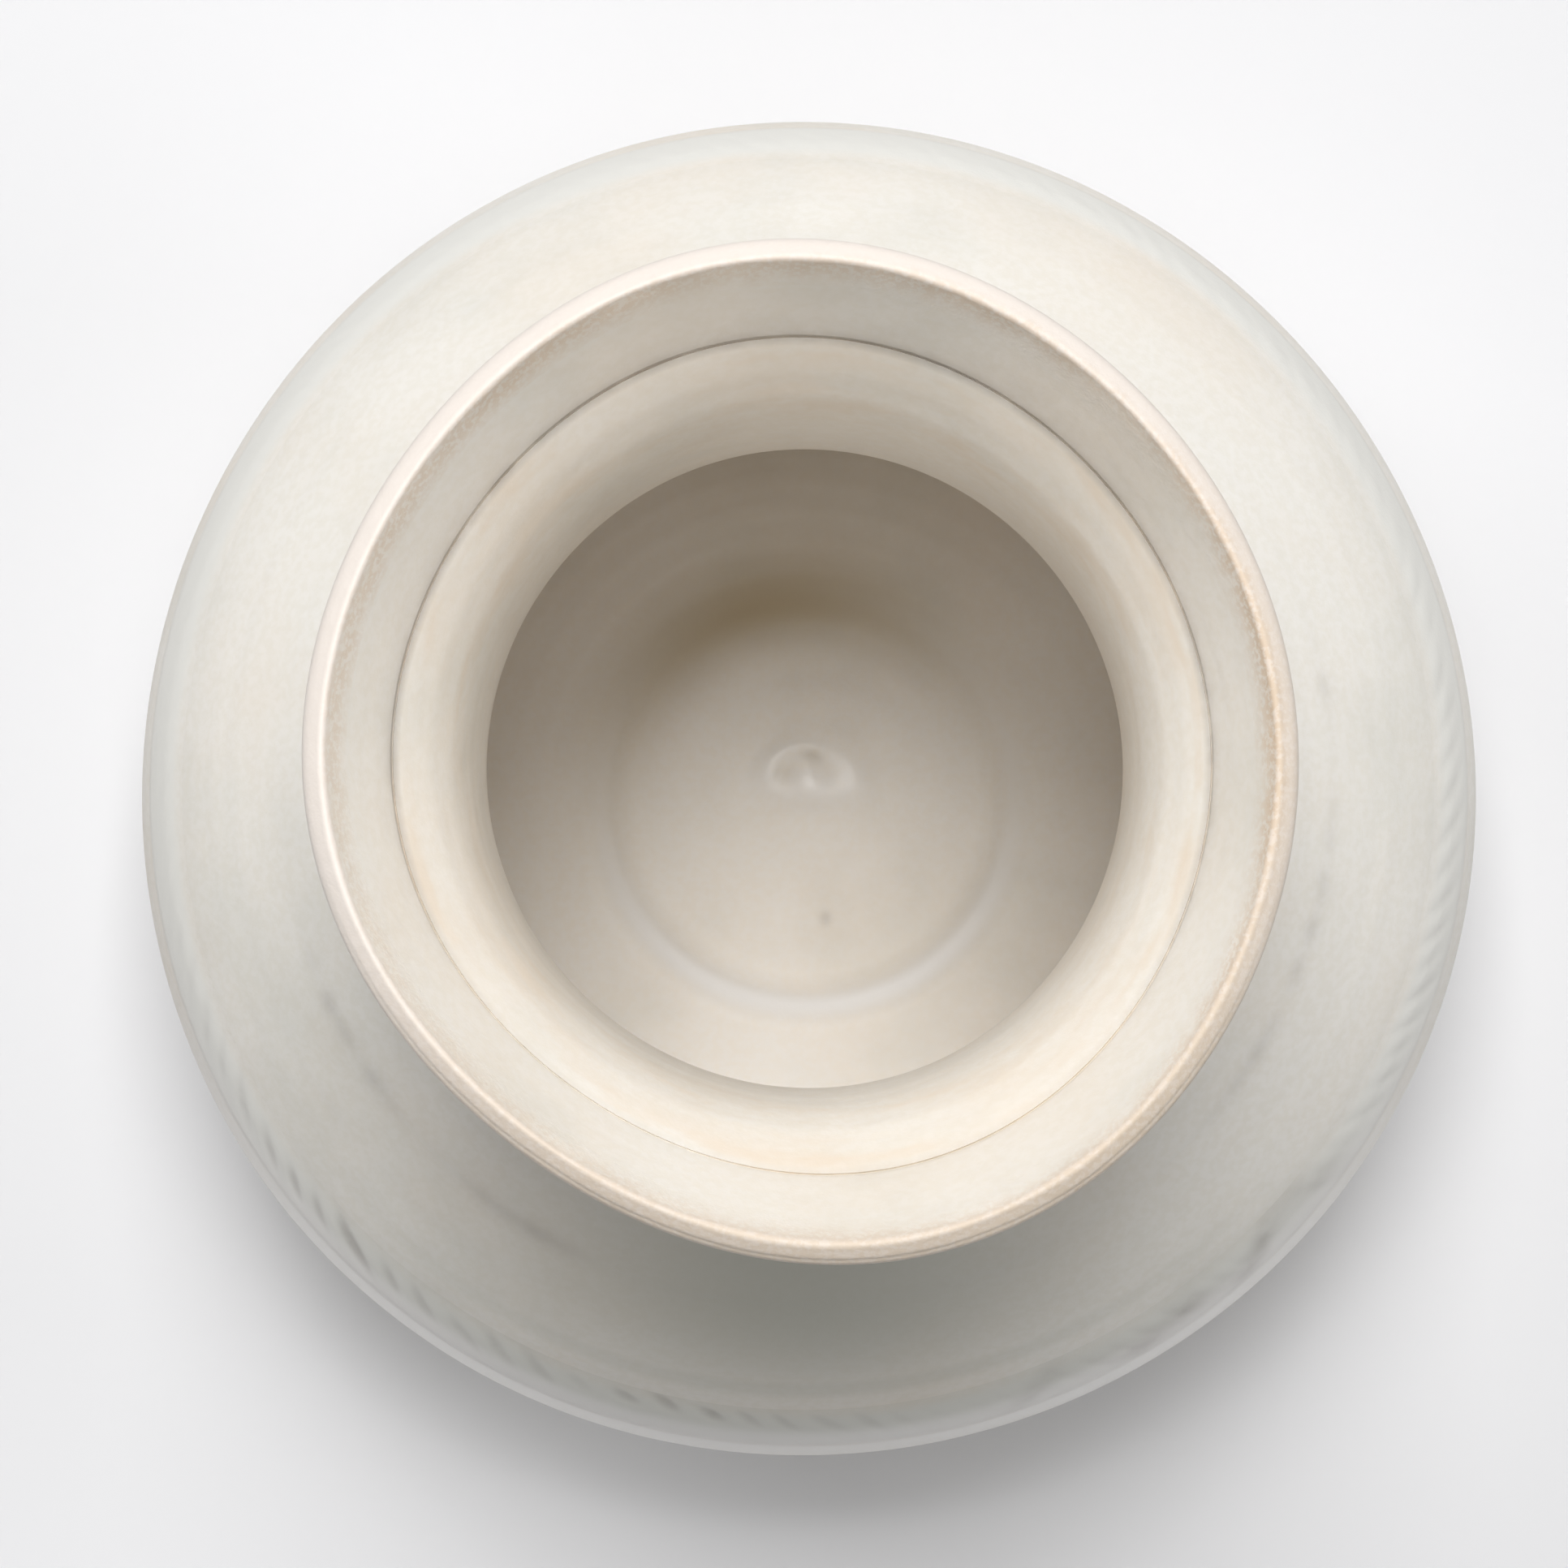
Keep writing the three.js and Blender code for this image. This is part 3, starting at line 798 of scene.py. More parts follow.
def specks_group():
    """Mask of iron specks: cells of random points, of which a share are shown out to a size."""
    group, inlet, outlet = new_group("iron_specks", {"Scale": 260.0, "Size": 0.25, "Share": 0.05}, ["Mask"])
    place = group.nodes.new("ShaderNodeTexCoord").outputs["Object"]
    cells = add(group, "ShaderNodeTexVoronoi", {"Vector": place, "Scale": inlet["Scale"]})
    dot = ease(group, cells.outputs["Distance"], 0.0, inlet["Size"], 1.0, 0.0)
    pick = add(group, "ShaderNodeSeparateColor", {0: cells.outputs["Color"]}).outputs[0]
    shown = calculate(group, "LESS_THAN", pick, inlet["Share"])
    group.links.new(times(group, dot, shown), outlet["Mask"])
    return group


def grain_group():
    """Height of a satin glaze: fine grain over softer dimples, both noise on object coordinates."""
    group, inlet, outlet = new_group("satin_grain", {"Fine": 2600.0, "Soft": 420.0, "Share": 0.4}, ["Height"])
    place = group.nodes.new("ShaderNodeTexCoord").outputs["Object"]
    fine = add(group, "ShaderNodeTexNoise", {"Vector": place, "Scale": inlet["Fine"], "Detail": 2.0})
    soft = add(group, "ShaderNodeTexNoise", {"Vector": place, "Scale": inlet["Soft"], "Detail": 2.0})
    grain = times(group, fine.outputs["Fac"], inlet["Share"])
    group.links.new(calculate(group, "ADD", grain, soft.outputs["Fac"]), outlet["Height"])
    return group


GROUP_MAKERS = {
    "glaze_clouds": clouds_group,
    "turned_smears": smears_group,
    "iron_specks": specks_group,
    "satin_grain": grain_group,
}


def effect(tree, name, **inputs):
    """Output of a shared effect with this material's own values."""
    group = bpy.data.node_groups.get(name) or GROUP_MAKERS[name]()
    placed = add(tree, "ShaderNodeGroup", node_tree=group)
    for key, value in inputs.items():
        socket_or_value(tree, placed.inputs[key.capitalize()], value)
    return placed.outputs[0]


def finish_material(name, specular):
    """New material, its node tree and its shader with the strength of its gloss set on it."""
    material = bpy.data.materials.new(name)
    material.use_nodes = True
    tree = material.node_tree
    shader = tree.nodes["Principled BSDF"]
    shader.inputs["Specular IOR Level"].default_value = specular
    return material, tree, shader


def dimple(tree, shader, height, depth):
    """Bump from a height, over a real depth, on a shader."""
    made = add(tree, "ShaderNodeBump", {"Height": height, "Distance": depth})
    tree.links.new(made.outputs["Normal"], shader.inputs["Normal"])


# Gloss of every glaze, and its roughness where it isn't green and where it is
GLAZE_GLOSS = 0.2
GLAZE_ROUGH = (0.54, 0.46)

# Clouds in every glaze: scale, low and high level, strength and colour of each layer
GLAZE_CLOUDS = (
    (110.0, 0.35, 0.70, 0.08, "buff"),
    (700.0, 0.35, 0.65, 0.35, "pale"),
    (17.0, 0.42, 0.72, 0.28, "buff"),
    (24.0, 0.46, 0.74, 0.24, "pooled_and_shade"),
)


def cloudy_glaze(tree, colours):
    """Glaze warmed inside, under layers of clouds; returns it and the mask of the last layer's grey green."""
    shade = tint(tree, attribute(tree, "warm"), colours.glaze, colours.inside)
    for scale, low, high, strength, name in GLAZE_CLOUDS:
        clouds = effect(tree, "glaze_clouds", scale=scale, low=low, high=high)
        shade = tint(tree, times(tree, clouds, strength), shade, getattr(colours, name))
    return shade, clouds


def iron_stained_and_shaded(tree, shade, colours):
    """Iron laid over a glaze where the piece is stained or carries painted shade, broken up by fine clouds.
    """
    bled = effect(tree, "glaze_clouds", scale=170.0, low=0.25, high=0.65)
    darkened = times(tree, attribute(tree, "stain_and_shade"), graded(tree, bled, 0.3, 0.5))
    return tint(tree, darkened, shade, colours.iron)


def satin(tree, shader, shade, green, grain, depth):
    """Gives a shader a glaze's colour, its roughness, less where it is green, and its grain."""
    tree.links.new(shade, shader.inputs["Base Color"])
    tree.links.new(graded(tree, green, *GLAZE_ROUGH), shader.inputs["Roughness"])
    dimple(tree, shader, grain, depth)


def glaze_material(colours):
    """Satin celadon white: buff smears, milky and brown where it gathers, grey green where thick, iron; the
    milky carries painted highlights and the brown, grey green and iron carry painted shade.
    """
    found = bpy.data.materials.get("celadon_glaze")
    if found:
        return found
    material, tree, shader = finish_material("celadon_glaze", GLAZE_GLOSS)
    shade, green = cloudy_glaze(tree, colours)
    smears = effect(tree, "turned_smears", around=2.5, along=130.0, low=0.40, high=0.75)
    smeared = times(tree, times(tree, smears, attribute(tree, "smear")), 0.6)
    shade = tint(tree, smeared, shade, colours.buff)
    # Milky glaze, with painted highlights on the well's ring, the eye's knob and round the band at the front
    pale = attribute(tree, "pale")
    shade = tint(tree, pale, shade, colours.pale)
    # Brown glaze with painted shade at the back of the well, then grey green with painted shade and shadow
    shade = tint(tree, attribute(tree, "deep_and_shade"), shade, colours.deep_and_shade)
    shade = tint(tree, attribute(tree, "pool_and_shade"), shade, colours.pooled_and_shade)
    grain = effect(tree, "satin_grain", fine=2400.0, soft=360.0, share=0.3)
    satin(tree, shader, iron_stained_and_shaded(tree, shade, colours), green, grain, depth=0.00005)
    tree.links.new(pale, shader.inputs["Coat Weight"])
    shader.inputs["Coat Roughness"].default_value = 0.3
    return material


def lip_material(colours):
    """Lip glaze: pinkish white, broken to granular peach inside the ridge and worn to tan at the front."""
    material, tree, shader = finish_material("lip_glaze_broken", GLAZE_GLOSS)
    grains = effect(tree, "glaze_clouds", scale=1300.0, low=0.35, high=0.6)
    worn = effect(tree, "glaze_clouds", scale=40.0, low=0.2, high=0.7)
    thin = attribute(tree, "thin")
    peach = times(tree, times(tree, graded(tree, grains, 0.35, 1.0), thin), graded(tree, worn, 0.6, 1.0))
    tan = times(tree, graded(tree, grains, 0.65, 1.0), attribute(tree, "tan"))
    shade, _ = cloudy_glaze(tree, colours)
    shade = tint(tree, attribute(tree, "rolled"), shade, colours.lip)
    # Dark of the turned line and painted shade under the bead
    shade = tint(tree, attribute(tree, "pool_and_shade"), shade, colours.pooled_and_shade)
    shade = tint(tree, peach, shade, colours.peach)
    shade = tint(tree, tan, shade, colours.worn)
    tree.links.new(shade, shader.inputs["Base Color"])
    tree.links.new(graded(tree, thin, 0.45, 0.8), shader.inputs["Roughness"])
    dimple(tree, shader, effect(tree, "satin_grain", fine=2400.0, soft=700.0, share=0.6), depth=0.00006)
    return material


def cord_material(colours):
    """Band glaze: cooler on the band's face, a painted highlight low on it and painted shade along its top at
    the front, iron brown in the cord marks.
    """
    material, tree, shader = finish_material("cord_band_glaze", GLAZE_GLOSS)
    shade, green = cloudy_glaze(tree, colours)
    shade = tint(tree, attribute(tree, "cool"), shade, colours.band)
    # Painted highlight low on the band and painted shade along its top, both at the front
    shade = tint(tree, attribute(tree, "pale"), shade, colours.pale)
    shade = tint(tree, attribute(tree, "pool_and_shade"), shade, colours.pooled_and_shade)
    grain = effect(tree, "satin_grain", fine=2400.0, soft=500.0, share=0.4)
    satin(tree, shader, iron_stained_and_shaded(tree, shade, colours), green, grain, depth=0.00006)
    return material


def slip_material(colours):
    """Slip under the glaze of a joint: the wall's glaze over faint patches of slip, with iron stains, painted
    shade in the mouth's crease and the painted shadow at the front.
    """
    material, tree, shader = finish_material("joint_slip", GLAZE_GLOSS)
    shade, green = cloudy_glaze(tree, colours)
    patchy = effect(tree, "glaze_clouds", scale=80.0, low=0.4, high=0.8)
    shade = tint(tree, times(tree, patchy, 0.3), shade, colours.slip)
    shade = tint(tree, attribute(tree, "pool_and_shade"), shade, colours.pooled_and_shade)
    grain = effect(tree, "satin_grain", fine=2400.0, soft=360.0, share=0.3)
    satin(tree, shader, iron_stained_and_shaded(tree, shade, colours), green, grain, depth=0.00005)
    return material


def clay_material(colours):
    """Bare stoneware of the foot: toasted in patches, speckled with iron and rough from the trimming."""
    material, tree, shader = finish_material("bare_stoneware", 0.3)
    toast = effect(tree, "glaze_clouds", scale=70.0, low=0.35, high=0.7)
    shade = tint(tree, toast, colours.clay, colours.clay_dark)
    specks = effect(tree, "iron_specks", scale=420.0, size=0.35, share=0.16)
    shade = tint(tree, specks, shade, colours.iron)
    tree.links.new(shade, shader.inputs["Base Color"])
    tree.links.new(graded(tree, toast, 0.9, 0.75), shader.inputs["Roughness"])
    dimple(tree, shader, effect(tree, "satin_grain", fine=1800.0, soft=600.0, share=0.8), depth=0.00025)
    return material


class VASE_OT_foot(bpy.types.Operator):
    """Trimmed foot ring of bare clay that the vase stands on"""

    bl_idname = "vase.foot"
    bl_label = "Foot ring"

    def execute(self, context):
        sizes, colours = context.scene.vase_sizes, context.scene.vase_colours
        inner, outer = sizes.foot_radius - sizes.foot_width, sizes.foot_radius
        chamfer, spread = sizes.foot_chamfer, sizes.foot_spread
        profile = joined([
            line((inner + chamfer, 0.0), (outer - chamfer, 0.0), count=7),
            line((outer - chamfer, 0.0), (outer, chamfer), count=3),
            line((outer, chamfer), (outer + spread, FOOT_TOP), count=9),
            line((outer + spread, FOOT_TOP), (inner - spread, FOOT_TOP), count=5),
            line((inner - spread, FOOT_TOP), (inner, chamfer), count=9),
            line((inner, chamfer), (inner + chamfer, 0.0), count=3),
        ], corner=FOOT_ROUND)
        grid = Turned(profile)
        upright = np.abs(grid.normal[0]) * smooth(grid.height, chamfer, 2 * chamfer)
        grid.relief = sizes.finger_mark * upright * finger_marks(grid.theta, grid.along)
        piece = turned_object("foot_ring_clay", grid, grid.points(sizes), {})
        fit(piece, "foot_ring", clay_material(colours))
        return {"FINISHED"}


def blob(across, behind, place, half, strength):
    """Soft oval spot: strength times a bell curve across times a bell curve behind."""
    return strength * bump(across, place[0], half[0]) * bump(behind, place[1], half[1])


def eye_forms(sizes, grid):
    """Rim (a bell curve on an oval, in lobes), knob and dimples that a finger left on the floor's eye."""
    across, behind = grid.radius * np.cos(grid.theta), grid.radius * np.sin(grid.theta)
    oval = np.hypot(EYE_OVAL[0] * across, EYE_OVAL[1] * behind)
    even, height, turn, swelling = EYE_LOBES
    lobes = even + height * np.cos(2 * grid.theta + turn) + swelling * frontness(grid.theta)
    rim = lobes * bump(oval, EYE_RIM[0] * sizes.eye_radius, EYE_RIM[1] * sizes.eye_radius)
    dimples = sum(blob(across, behind, *dent) for dent in EYE_DIMPLES)
    return rim, blob(across, behind, *EYE_KNOB), dimples


def shared(forms, shares):
    """Sum of forms, each times its share."""
    return sum(share * form for form, share in zip(forms, shares))


def floor_masks(sizes, grid, masks, on_floor, forms):
    """Glaze on the floor: milky ring and eye with painted highlights, brown with painted shade at the back of
    the well and up the wall, iron speck.
    """
    inside = masks["warm"]
    in_well = inside * (1 - smooth(grid.height - sizes.brim_height, *WELL_END))
    # Milky ring, faint all round and strong at the front as a painted highlight; milky eye with a painted
    # highlight on its knob
    front = smooth(frontness(grid.theta), *PALE_FRONT)
    ring = in_well * bump(grid.radius, PALE_RING, PALE_WIDTH) * (PALE_BACK + (1 - PALE_BACK) * front)
    masks["pale"] = np.minimum(ring + on_floor * shared(forms, EYE_PALE), 1.0)
    # Brown glaze at the back of the well and up the back wall, partly painted shade
    back = np.minimum(patches(grid.theta, WELL_SHADE), 1.0)
    strength, contrast, pitch, sway = DEEP_BANDS
    bands = 1 + contrast * np.cos(TURN * grid.radius / pitch + sway * waver(grid.theta, *BAND_SWAY))
    climbing = strength * inside * bands * smooth(grid.radius, PALE_RING, sizes.brim_radius + BANDS_START)
    way_in, half, strength = DEEP_POOL_AND_SHADE
    pooled_and_shade = strength * in_well * bump(grid.radius, PALE_RING - way_in, half)
    masks["deep_and_shade"] = back * (pooled_and_shade + climbing) + on_floor * shared(forms, EYE_DEEP)
    across, behind = grid.radius * np.cos(grid.theta), grid.radius * np.sin(grid.theta)
    aside = np.hypot(across - SPECK[0], behind - SPECK[1])
    masks["stain_and_shade"] = masks["stain_and_shade"] + SPECK_DARK * on_floor * bump(aside, 0.0, SPECK_WIDTH)


class VASE_OT_bowl(bpy.types.Operator):
    """Lower bowl: base, outside up to the band's seat, inside, floor well and eye"""

    bl_idname = "vase.bowl"
    bl_label = "Lower bowl"

    def execute(self, context):
        sizes, cord = context.scene.vase_sizes, context.scene.cord_sizes
        outer, inner = outer_wall(sizes), inner_wall(sizes)
        step_radius = radius_at(outer, CORD_LOW)
        edge_radius = radius_at(outer, BELLY_JOINT) - cord.seat
        floor, brim = (sizes.floor_radius, sizes.floor_height), (sizes.brim_radius, sizes.brim_height)
        well = cubic(brim, (brim[0] - WELL_EASE, brim[1]), (floor[0] + WELL_EASE, floor[1]), floor, WELL_ROWS)
        inward = line(sizes.floor_radius, POLE, FLOOR_ROWS)[1:]
        dome = bump(inward, 0.0, EYE_DOME * sizes.eye_radius)
        eye = np.column_stack([inward, sizes.floor_height + sizes.eye_height / 2 * dome])
        profile = joined([
            line((POLE, UNDERSIDE), (sizes.base_radius, UNDERSIDE), BASE_ROWS),
            between(outer, UNDERSIDE, CORD_LOW),
            line((step_radius, CORD_LOW), (step_radius - cord.seat, CORD_LOW)),
            line((step_radius - cord.seat, CORD_LOW), (edge_radius, BELLY_JOINT), count=4),
            scored_edge(edge_radius, radius_at(inner, BELLY_JOINT), BELLY_JOINT),
            np.vstack([between(inner, sizes.brim_height, BELLY_JOINT)[::-1], well[1:], eye]),
        ], closed=False)
        grid = Turned(profile, closed=False)
        masks = wall_masks(sizes, grid)
        inside = masks["warm"]
        floor_edge = FLOOR_EDGE * sizes.floor_radius
        on_floor = inside * (1 - smooth(grid.radius, floor_edge, sizes.floor_radius))
        forms = eye_forms(sizes, grid)
        floor_masks(sizes, grid, masks, on_floor, forms)
        outside = grid.radius > step_radius - cord.seat
        # Painted highlight on the belly under the band at the front
        under_band = outside * smooth(grid.height, CORD_LOW - HIGHLIGHT_BELOW, CORD_LOW)
        masks["pale"] = masks["pale"] + FRONT_HIGHLIGHT * under_band * smooth(frontness(grid.theta), *HIGHLIGHT_FRONT)
        wall = smooth(grid.radius, sizes.brim_radius, sizes.brim_radius + WALL_START)
        swirl = np.cos(TURN * grid.radius / SWIRL_PITCH + grid.theta) * smooth(grid.radius, *SWIRL_START)
        pressed = sizes.eye_swirl * shared(forms, EYE_RELIEF)
        way_in, half, height = TERRACE
        terrace = height * inside * bump(grid.radius, PALE_RING - way_in, half)
        grid.relief = (wall * wall_marks(sizes, grid, UNDERSIDE, CORD_LOW)
                       + on_floor * (SWIRL_HEIGHT * swirl + pressed)
                       + terrace * (grid.height < sizes.brim_height))

        def slide(radius):
            """Floor rings slide back by the eye's offset times (1 - r / floor radius) squared."""
            towards_eye = np.clip(1 - radius / sizes.floor_radius, 0.0, 1.0)
            return sizes.eye_offset * towards_eye ** 2 * (inside > 0)

        piece = turned_object("lower_bowl_glazed", grid, grid.points(sizes, slide), masks)
        fit(piece, "lower_bowl", glaze_material(context.scene.vase_colours))
        return {"FINISHED"}


class VASE_OT_shoulder(bpy.types.Operator):
    """Shoulder dome from the belly joint to the shoulder joint"""

    bl_idname = "vase.shoulder"
    bl_label = "Shoulder dome"

    def execute(self, context):
        sizes, cord = context.scene.vase_sizes, context.scene.cord_sizes
        outer, inner = outer_wall(sizes), inner_wall(sizes)
        step = CORD_TOP + cord.bedding
        step_radius = radius_at(outer, step)
        seat_radius = radius_at(outer, SHOULDER_FOOT) - cord.seat
        edge = scored_edge(radius_at(outer, SHOULDER_JOINT), radius_at(inner, SHOULDER_JOINT), SHOULDER_JOINT)
        profile = joined([
            line((radius_at(inner, SHOULDER_FOOT), SHOULDER_FOOT), (seat_radius, SHOULDER_FOOT)),
            line((seat_radius, SHOULDER_FOOT), (step_radius - cord.seat, step), count=4),
            line((step_radius - cord.seat, step), (step_radius, step)),
            between(outer, step, SHOULDER_JOINT),
            edge,
            between(inner, SHOULDER_FOOT, SHOULDER_JOINT)[::-1],
        ])
        grid = Turned(profile)
        masks = wall_masks(sizes, grid)
        outside = 1 - inside_mask(sizes, grid)
        front = smooth(frontness(grid.theta), *OVER_FRONT)
        over = grid.height - step
        ridge = cord.ridge * front * bump(over, *OVER_RIDGE)
        grid.relief = wall_marks(sizes, grid, step, SHOULDER_JOINT) + outside * ridge
        # Painted shade in the seam over the band and in the line over the ridge at the front
        dark = bells(over, OVER_SEAM) + OVER_DARK * front * bump(over, *OVER_LINE)
        masks["pool_and_shade"] = masks["pool_and_shade"] + outside * dark
        piece = turned_object("shoulder_dome_glazed", grid, grid.points(sizes), masks)
        fit(piece, "shoulder_dome", glaze_material(context.scene.vase_colours))
        return {"FINISHED"}


class VASE_OT_cord_band(bpy.types.Operator):
    """Band of clay over the belly joint, pressed with a twisted cord"""

    bl_idname = "vase.cord_band"
    bl_label = "Cord band"

    def execute(self, context):
        sizes, cord = context.scene.vase_sizes, context.scene.cord_sizes
        outer = outer_wall(sizes)
        top = CORD_TOP + cord.bedding
        face = between(outer, CORD_LOW, top, row=FACE_ROW)
        back = between(outer, CORD_LOW, CORD_TOP, cord.bedding - cord.seat, row=SEAT_ROW)[::-1]
        profile = joined([face, line(face[-1], back[0]), back, line(back[-1], face[0])])
        grid = Turned(profile, columns=MARK_COLUMNS * cord.marks)
        climb = (grid.height - CORD_LOW) / (top - CORD_LOW)
        on_face = (grid.radius > radius_at(outer, grid.height) - cord.bedding).astype(float)
        front = frontness(grid.theta)
        body = cord.proud * smooth(climb, *BAND_RISE) * (1 - smooth(climb, *BAND_FALL))
        turn = grid.theta + cord.lean * (climb - 0.5)
        spread = cord.spread * np.sin(2 * (grid.theta - WIDEST_MARKS))
        phase = cord.marks * turn / TURN + spread + MARK_SWAY * waver(grid.theta, *MARK_SPACING)
        number = np.floor(phase + 0.5).astype(int) % cord.marks
        draw = np.random.default_rng(MARK_SEED)
        short = np.minimum(patches(grid.theta, SHORT_MARKS), 1.0)
        strength = draw.uniform(*MARK_STRENGTHS, cord.marks)[number]
        middle = draw.uniform(*MARK_MIDDLES, cord.marks)[number] + SHORT_LIFT * short
        reach = draw.uniform(*MARK_REACHES, cord.marks)[number] - SHORT_CUT * short
        across = phase - np.round(phase)
        bite = np.minimum(patches(grid.theta, CORD_BITES), 1.0)
        mark = strength * bump(across, 0.0, MARK_WIDTH) * bump(climb, middle, reach)
        depth = cord.depth * (FAINT_MARK + (1 - FAINT_MARK) * bite)
        grid.relief = on_face * (body - depth * mark)
        height, drift, half = PATCH_HEIGHT
        height = height + drift * waver(grid.theta, *PATCH_DRIFT)
        spots = PATCH_IRON * patches(grid.theta, CORD_PATCHES) * bump(climb, height, half)
        iron = MARK_IRON * bite * smooth(mark, *MARK_FILL) + spots
        masks = {
            "warm": np.zeros_like(grid.radius),
            "cool": on_face * smooth(climb, *COOL_RISE) * (1 - smooth(climb, *COOL_END)),
            # Painted highlight on the lower part of the band at the front
            "pale": FRONT_HIGHLIGHT * on_face * (1 - smooth(climb, *HIGHLIGHT_END)) * smooth(front, *HIGHLIGHT_FRONT),
            # Painted shade along the top of the band at the front
            "pool_and_shade": TOP_SHADE * on_face * smooth(climb, *TOP_SHADE_RISE) * smooth(front, *TOP_SHADE_FRONT),
            "stain_and_shade": on_face * np.minimum(iron, 1.0),
        }
        piece = turned_object("cord_band_glazed", grid, grid.points(sizes), masks)
        fit(piece, "cord_band", cord_material(context.scene.vase_colours))
        return {"FINISHED"}


class VASE_OT_neck(bpy.types.Operator):
    """Neck collar from the shoulder joint through the throat to the ledge and its crease"""

    bl_idname = "vase.neck"
    bl_label = "Neck collar"

    def execute(self, context):
        sizes = context.scene.vase_sizes
        outer, inner = outer_wall(sizes), inner_wall(sizes)
        foot_in, foot_out = radius_at(inner, NECK_FOOT), radius_at(outer, NECK_FOOT)
        edge = scored_edge(radius_at(outer, MOUTH_JOINT), sizes.mouth_foot_radius, MOUTH_JOINT)
        crease = ((sizes.mouth_foot_radius + sizes.ledge_radius) / 2, MOUTH_JOINT - sizes.crease_depth)
        brow = (sizes.ledge_radius, MOUTH_JOINT)
        profile = joined([
            line((foot_in, NECK_FOOT), (foot_out, NECK_FOOT)),
            between(outer, NECK_FOOT, MOUTH_JOINT),
            edge,
            line(edge[-1], crease, count=5),
            line(crease, brow, count=5),
            between(inner, NECK_FOOT, MOUTH_JOINT)[::-1],
        ])
        grid = Turned(profile)
        grid.relief = wall_marks(sizes, grid, NECK_FOOT, MOUTH_JOINT)
        masks = wall_masks(sizes, grid)
        piece = turned_object("neck_collar_glazed", grid, grid.points(sizes), masks)
        fit(piece, "neck_collar", glaze_material(context.scene.vase_colours))
        return {"FINISHED"}


class VASE_OT_mouth(bpy.types.Operator):
    """Mouth flare: the steep wall over the ledge"""

    bl_idname = "vase.mouth"
    bl_label = "Mouth flare"

    def execute(self, context):
        sizes = context.scene.vase_sizes
        outer = outer_wall(sizes)
        foot_out, top_in = radius_at(outer, MOUTH_FOOT), mouth_wall(sizes, LIP_JOINT)
        top_out = sizes.lip_radius - sizes.lip_overhang
        profile = joined([
            line((sizes.mouth_foot_radius, MOUTH_FOOT), (foot_out, MOUTH_FOOT)),
            between(outer, MOUTH_FOOT, LIP_JOINT, row=MOUTH_ROW),
            scored_edge(top_out, top_in, LIP_JOINT),
            line((top_in, LIP_JOINT), (sizes.mouth_foot_radius, MOUTH_FOOT), MOUTH_ROWS),
        ])
        grid = Turned(profile)
        grid.relief = MOUTH_MARKS * wall_marks(sizes, grid, MOUTH_FOOT, LIP_JOINT)
        masks = wall_masks(sizes, grid)
        piece = turned_object("mouth_flare_glazed", grid, grid.points(sizes), masks)
        fit(piece, "mouth_flare", glaze_material(context.scene.vase_colours))
        return {"FINISHED"}


class VASE_OT_lip(bpy.types.Operator):
    """Rolled bead of the lip"""

    bl_idname = "vase.lip"
    bl_label = "Lip bead"

    def execute(self, context):
        sizes = context.scene.vase_sizes
        crest = sizes.lip_radius - sizes.lip_crest_inset
        inner = mouth_wall(sizes, LIP_FOOT)
        outer = sizes.lip_radius - sizes.lip_overhang
        side = LIP_FOOT + sizes.lip_side
        run, drop = sizes.lip_crest_inset / 2, LIP_CREST - side
        roll = cubic((sizes.lip_radius, side), (sizes.lip_radius, side + drop / 2),
                     (crest + run, LIP_CREST - LIP_SLOPE * run), (crest, LIP_CREST), ROLL_ROWS)
        profile = joined([
            line((inner, LIP_FOOT), (outer, LIP_FOOT), count=4),
            np.vstack([line((outer, LIP_FOOT), (sizes.lip_radius, side), count=6)[:-1], roll]),
            line((crest, LIP_CREST), (inner, LIP_FOOT), LIP_ROWS),
        ], corner=(0.0, sizes.lip_edge, 0.0))
        grid = Turned(profile, columns=LIP_COLUMNS)
        front = frontness(grid.theta)
        inward = crest - grid.radius
        way_in, half, depth = TURNED_LINE
        turned_line = bump(inward, way_in - sizes.lip_crest_inset, half) * smooth(front, *LINE_FRONT)
        wavy = LIP_WAVE * waver(grid.theta, *LIP_WAVES) + LIP_RIPPLE * waver(grid.theta, *LIP_RIPPLES)
        grid.relief = smooth(grid.height, side, LIP_CREST) * wavy - depth * turned_line * (grid.height > side)
        worn = WORN_LEAST + np.minimum(patches(grid.theta, LIP_WORN), WORN_MOST)
        way_in, shift, drift = PEACH_LINE
        inner_side = inward - way_in + shift * np.cos(grid.theta) - drift * waver(grid.theta, *PEACH_DRIFT)
        peach = bump(inner_side, 0.0, PEACH_WIDTH[0] + PEACH_WIDTH[1] * worn)
        dull = patches(grid.theta, LIP_DULL) * smooth(-inward, *DULL_EDGE)
        # Painted shade on the bead's upright outer side, under its roll
        under = (1 - smooth(grid.height, LIP_FOOT, side)) * (inward < 0)
        masks = {
            "warm": np.full_like(grid.radius, MOUTH_WARMTH),
            "rolled": 1 - smooth(inward, *ROLLED_END),
            "thin": np.clip(worn * peach * smooth(inner_side, *PEACH_EDGE), 0.0, 1.0),
            "tan": TAN * smooth(-inward, *TAN_EDGE) * smooth(front, *TAN_FRONT) + dull,
            "pool_and_shade": LINE_DARK * turned_line + LIP_UNDER * under,
        }
        piece = turned_object("lip_bead_glazed", grid, grid.points(sizes), masks)
        fit(piece, "lip_bead", lip_material(context.scene.vase_colours))
        return {"FINISHED"}


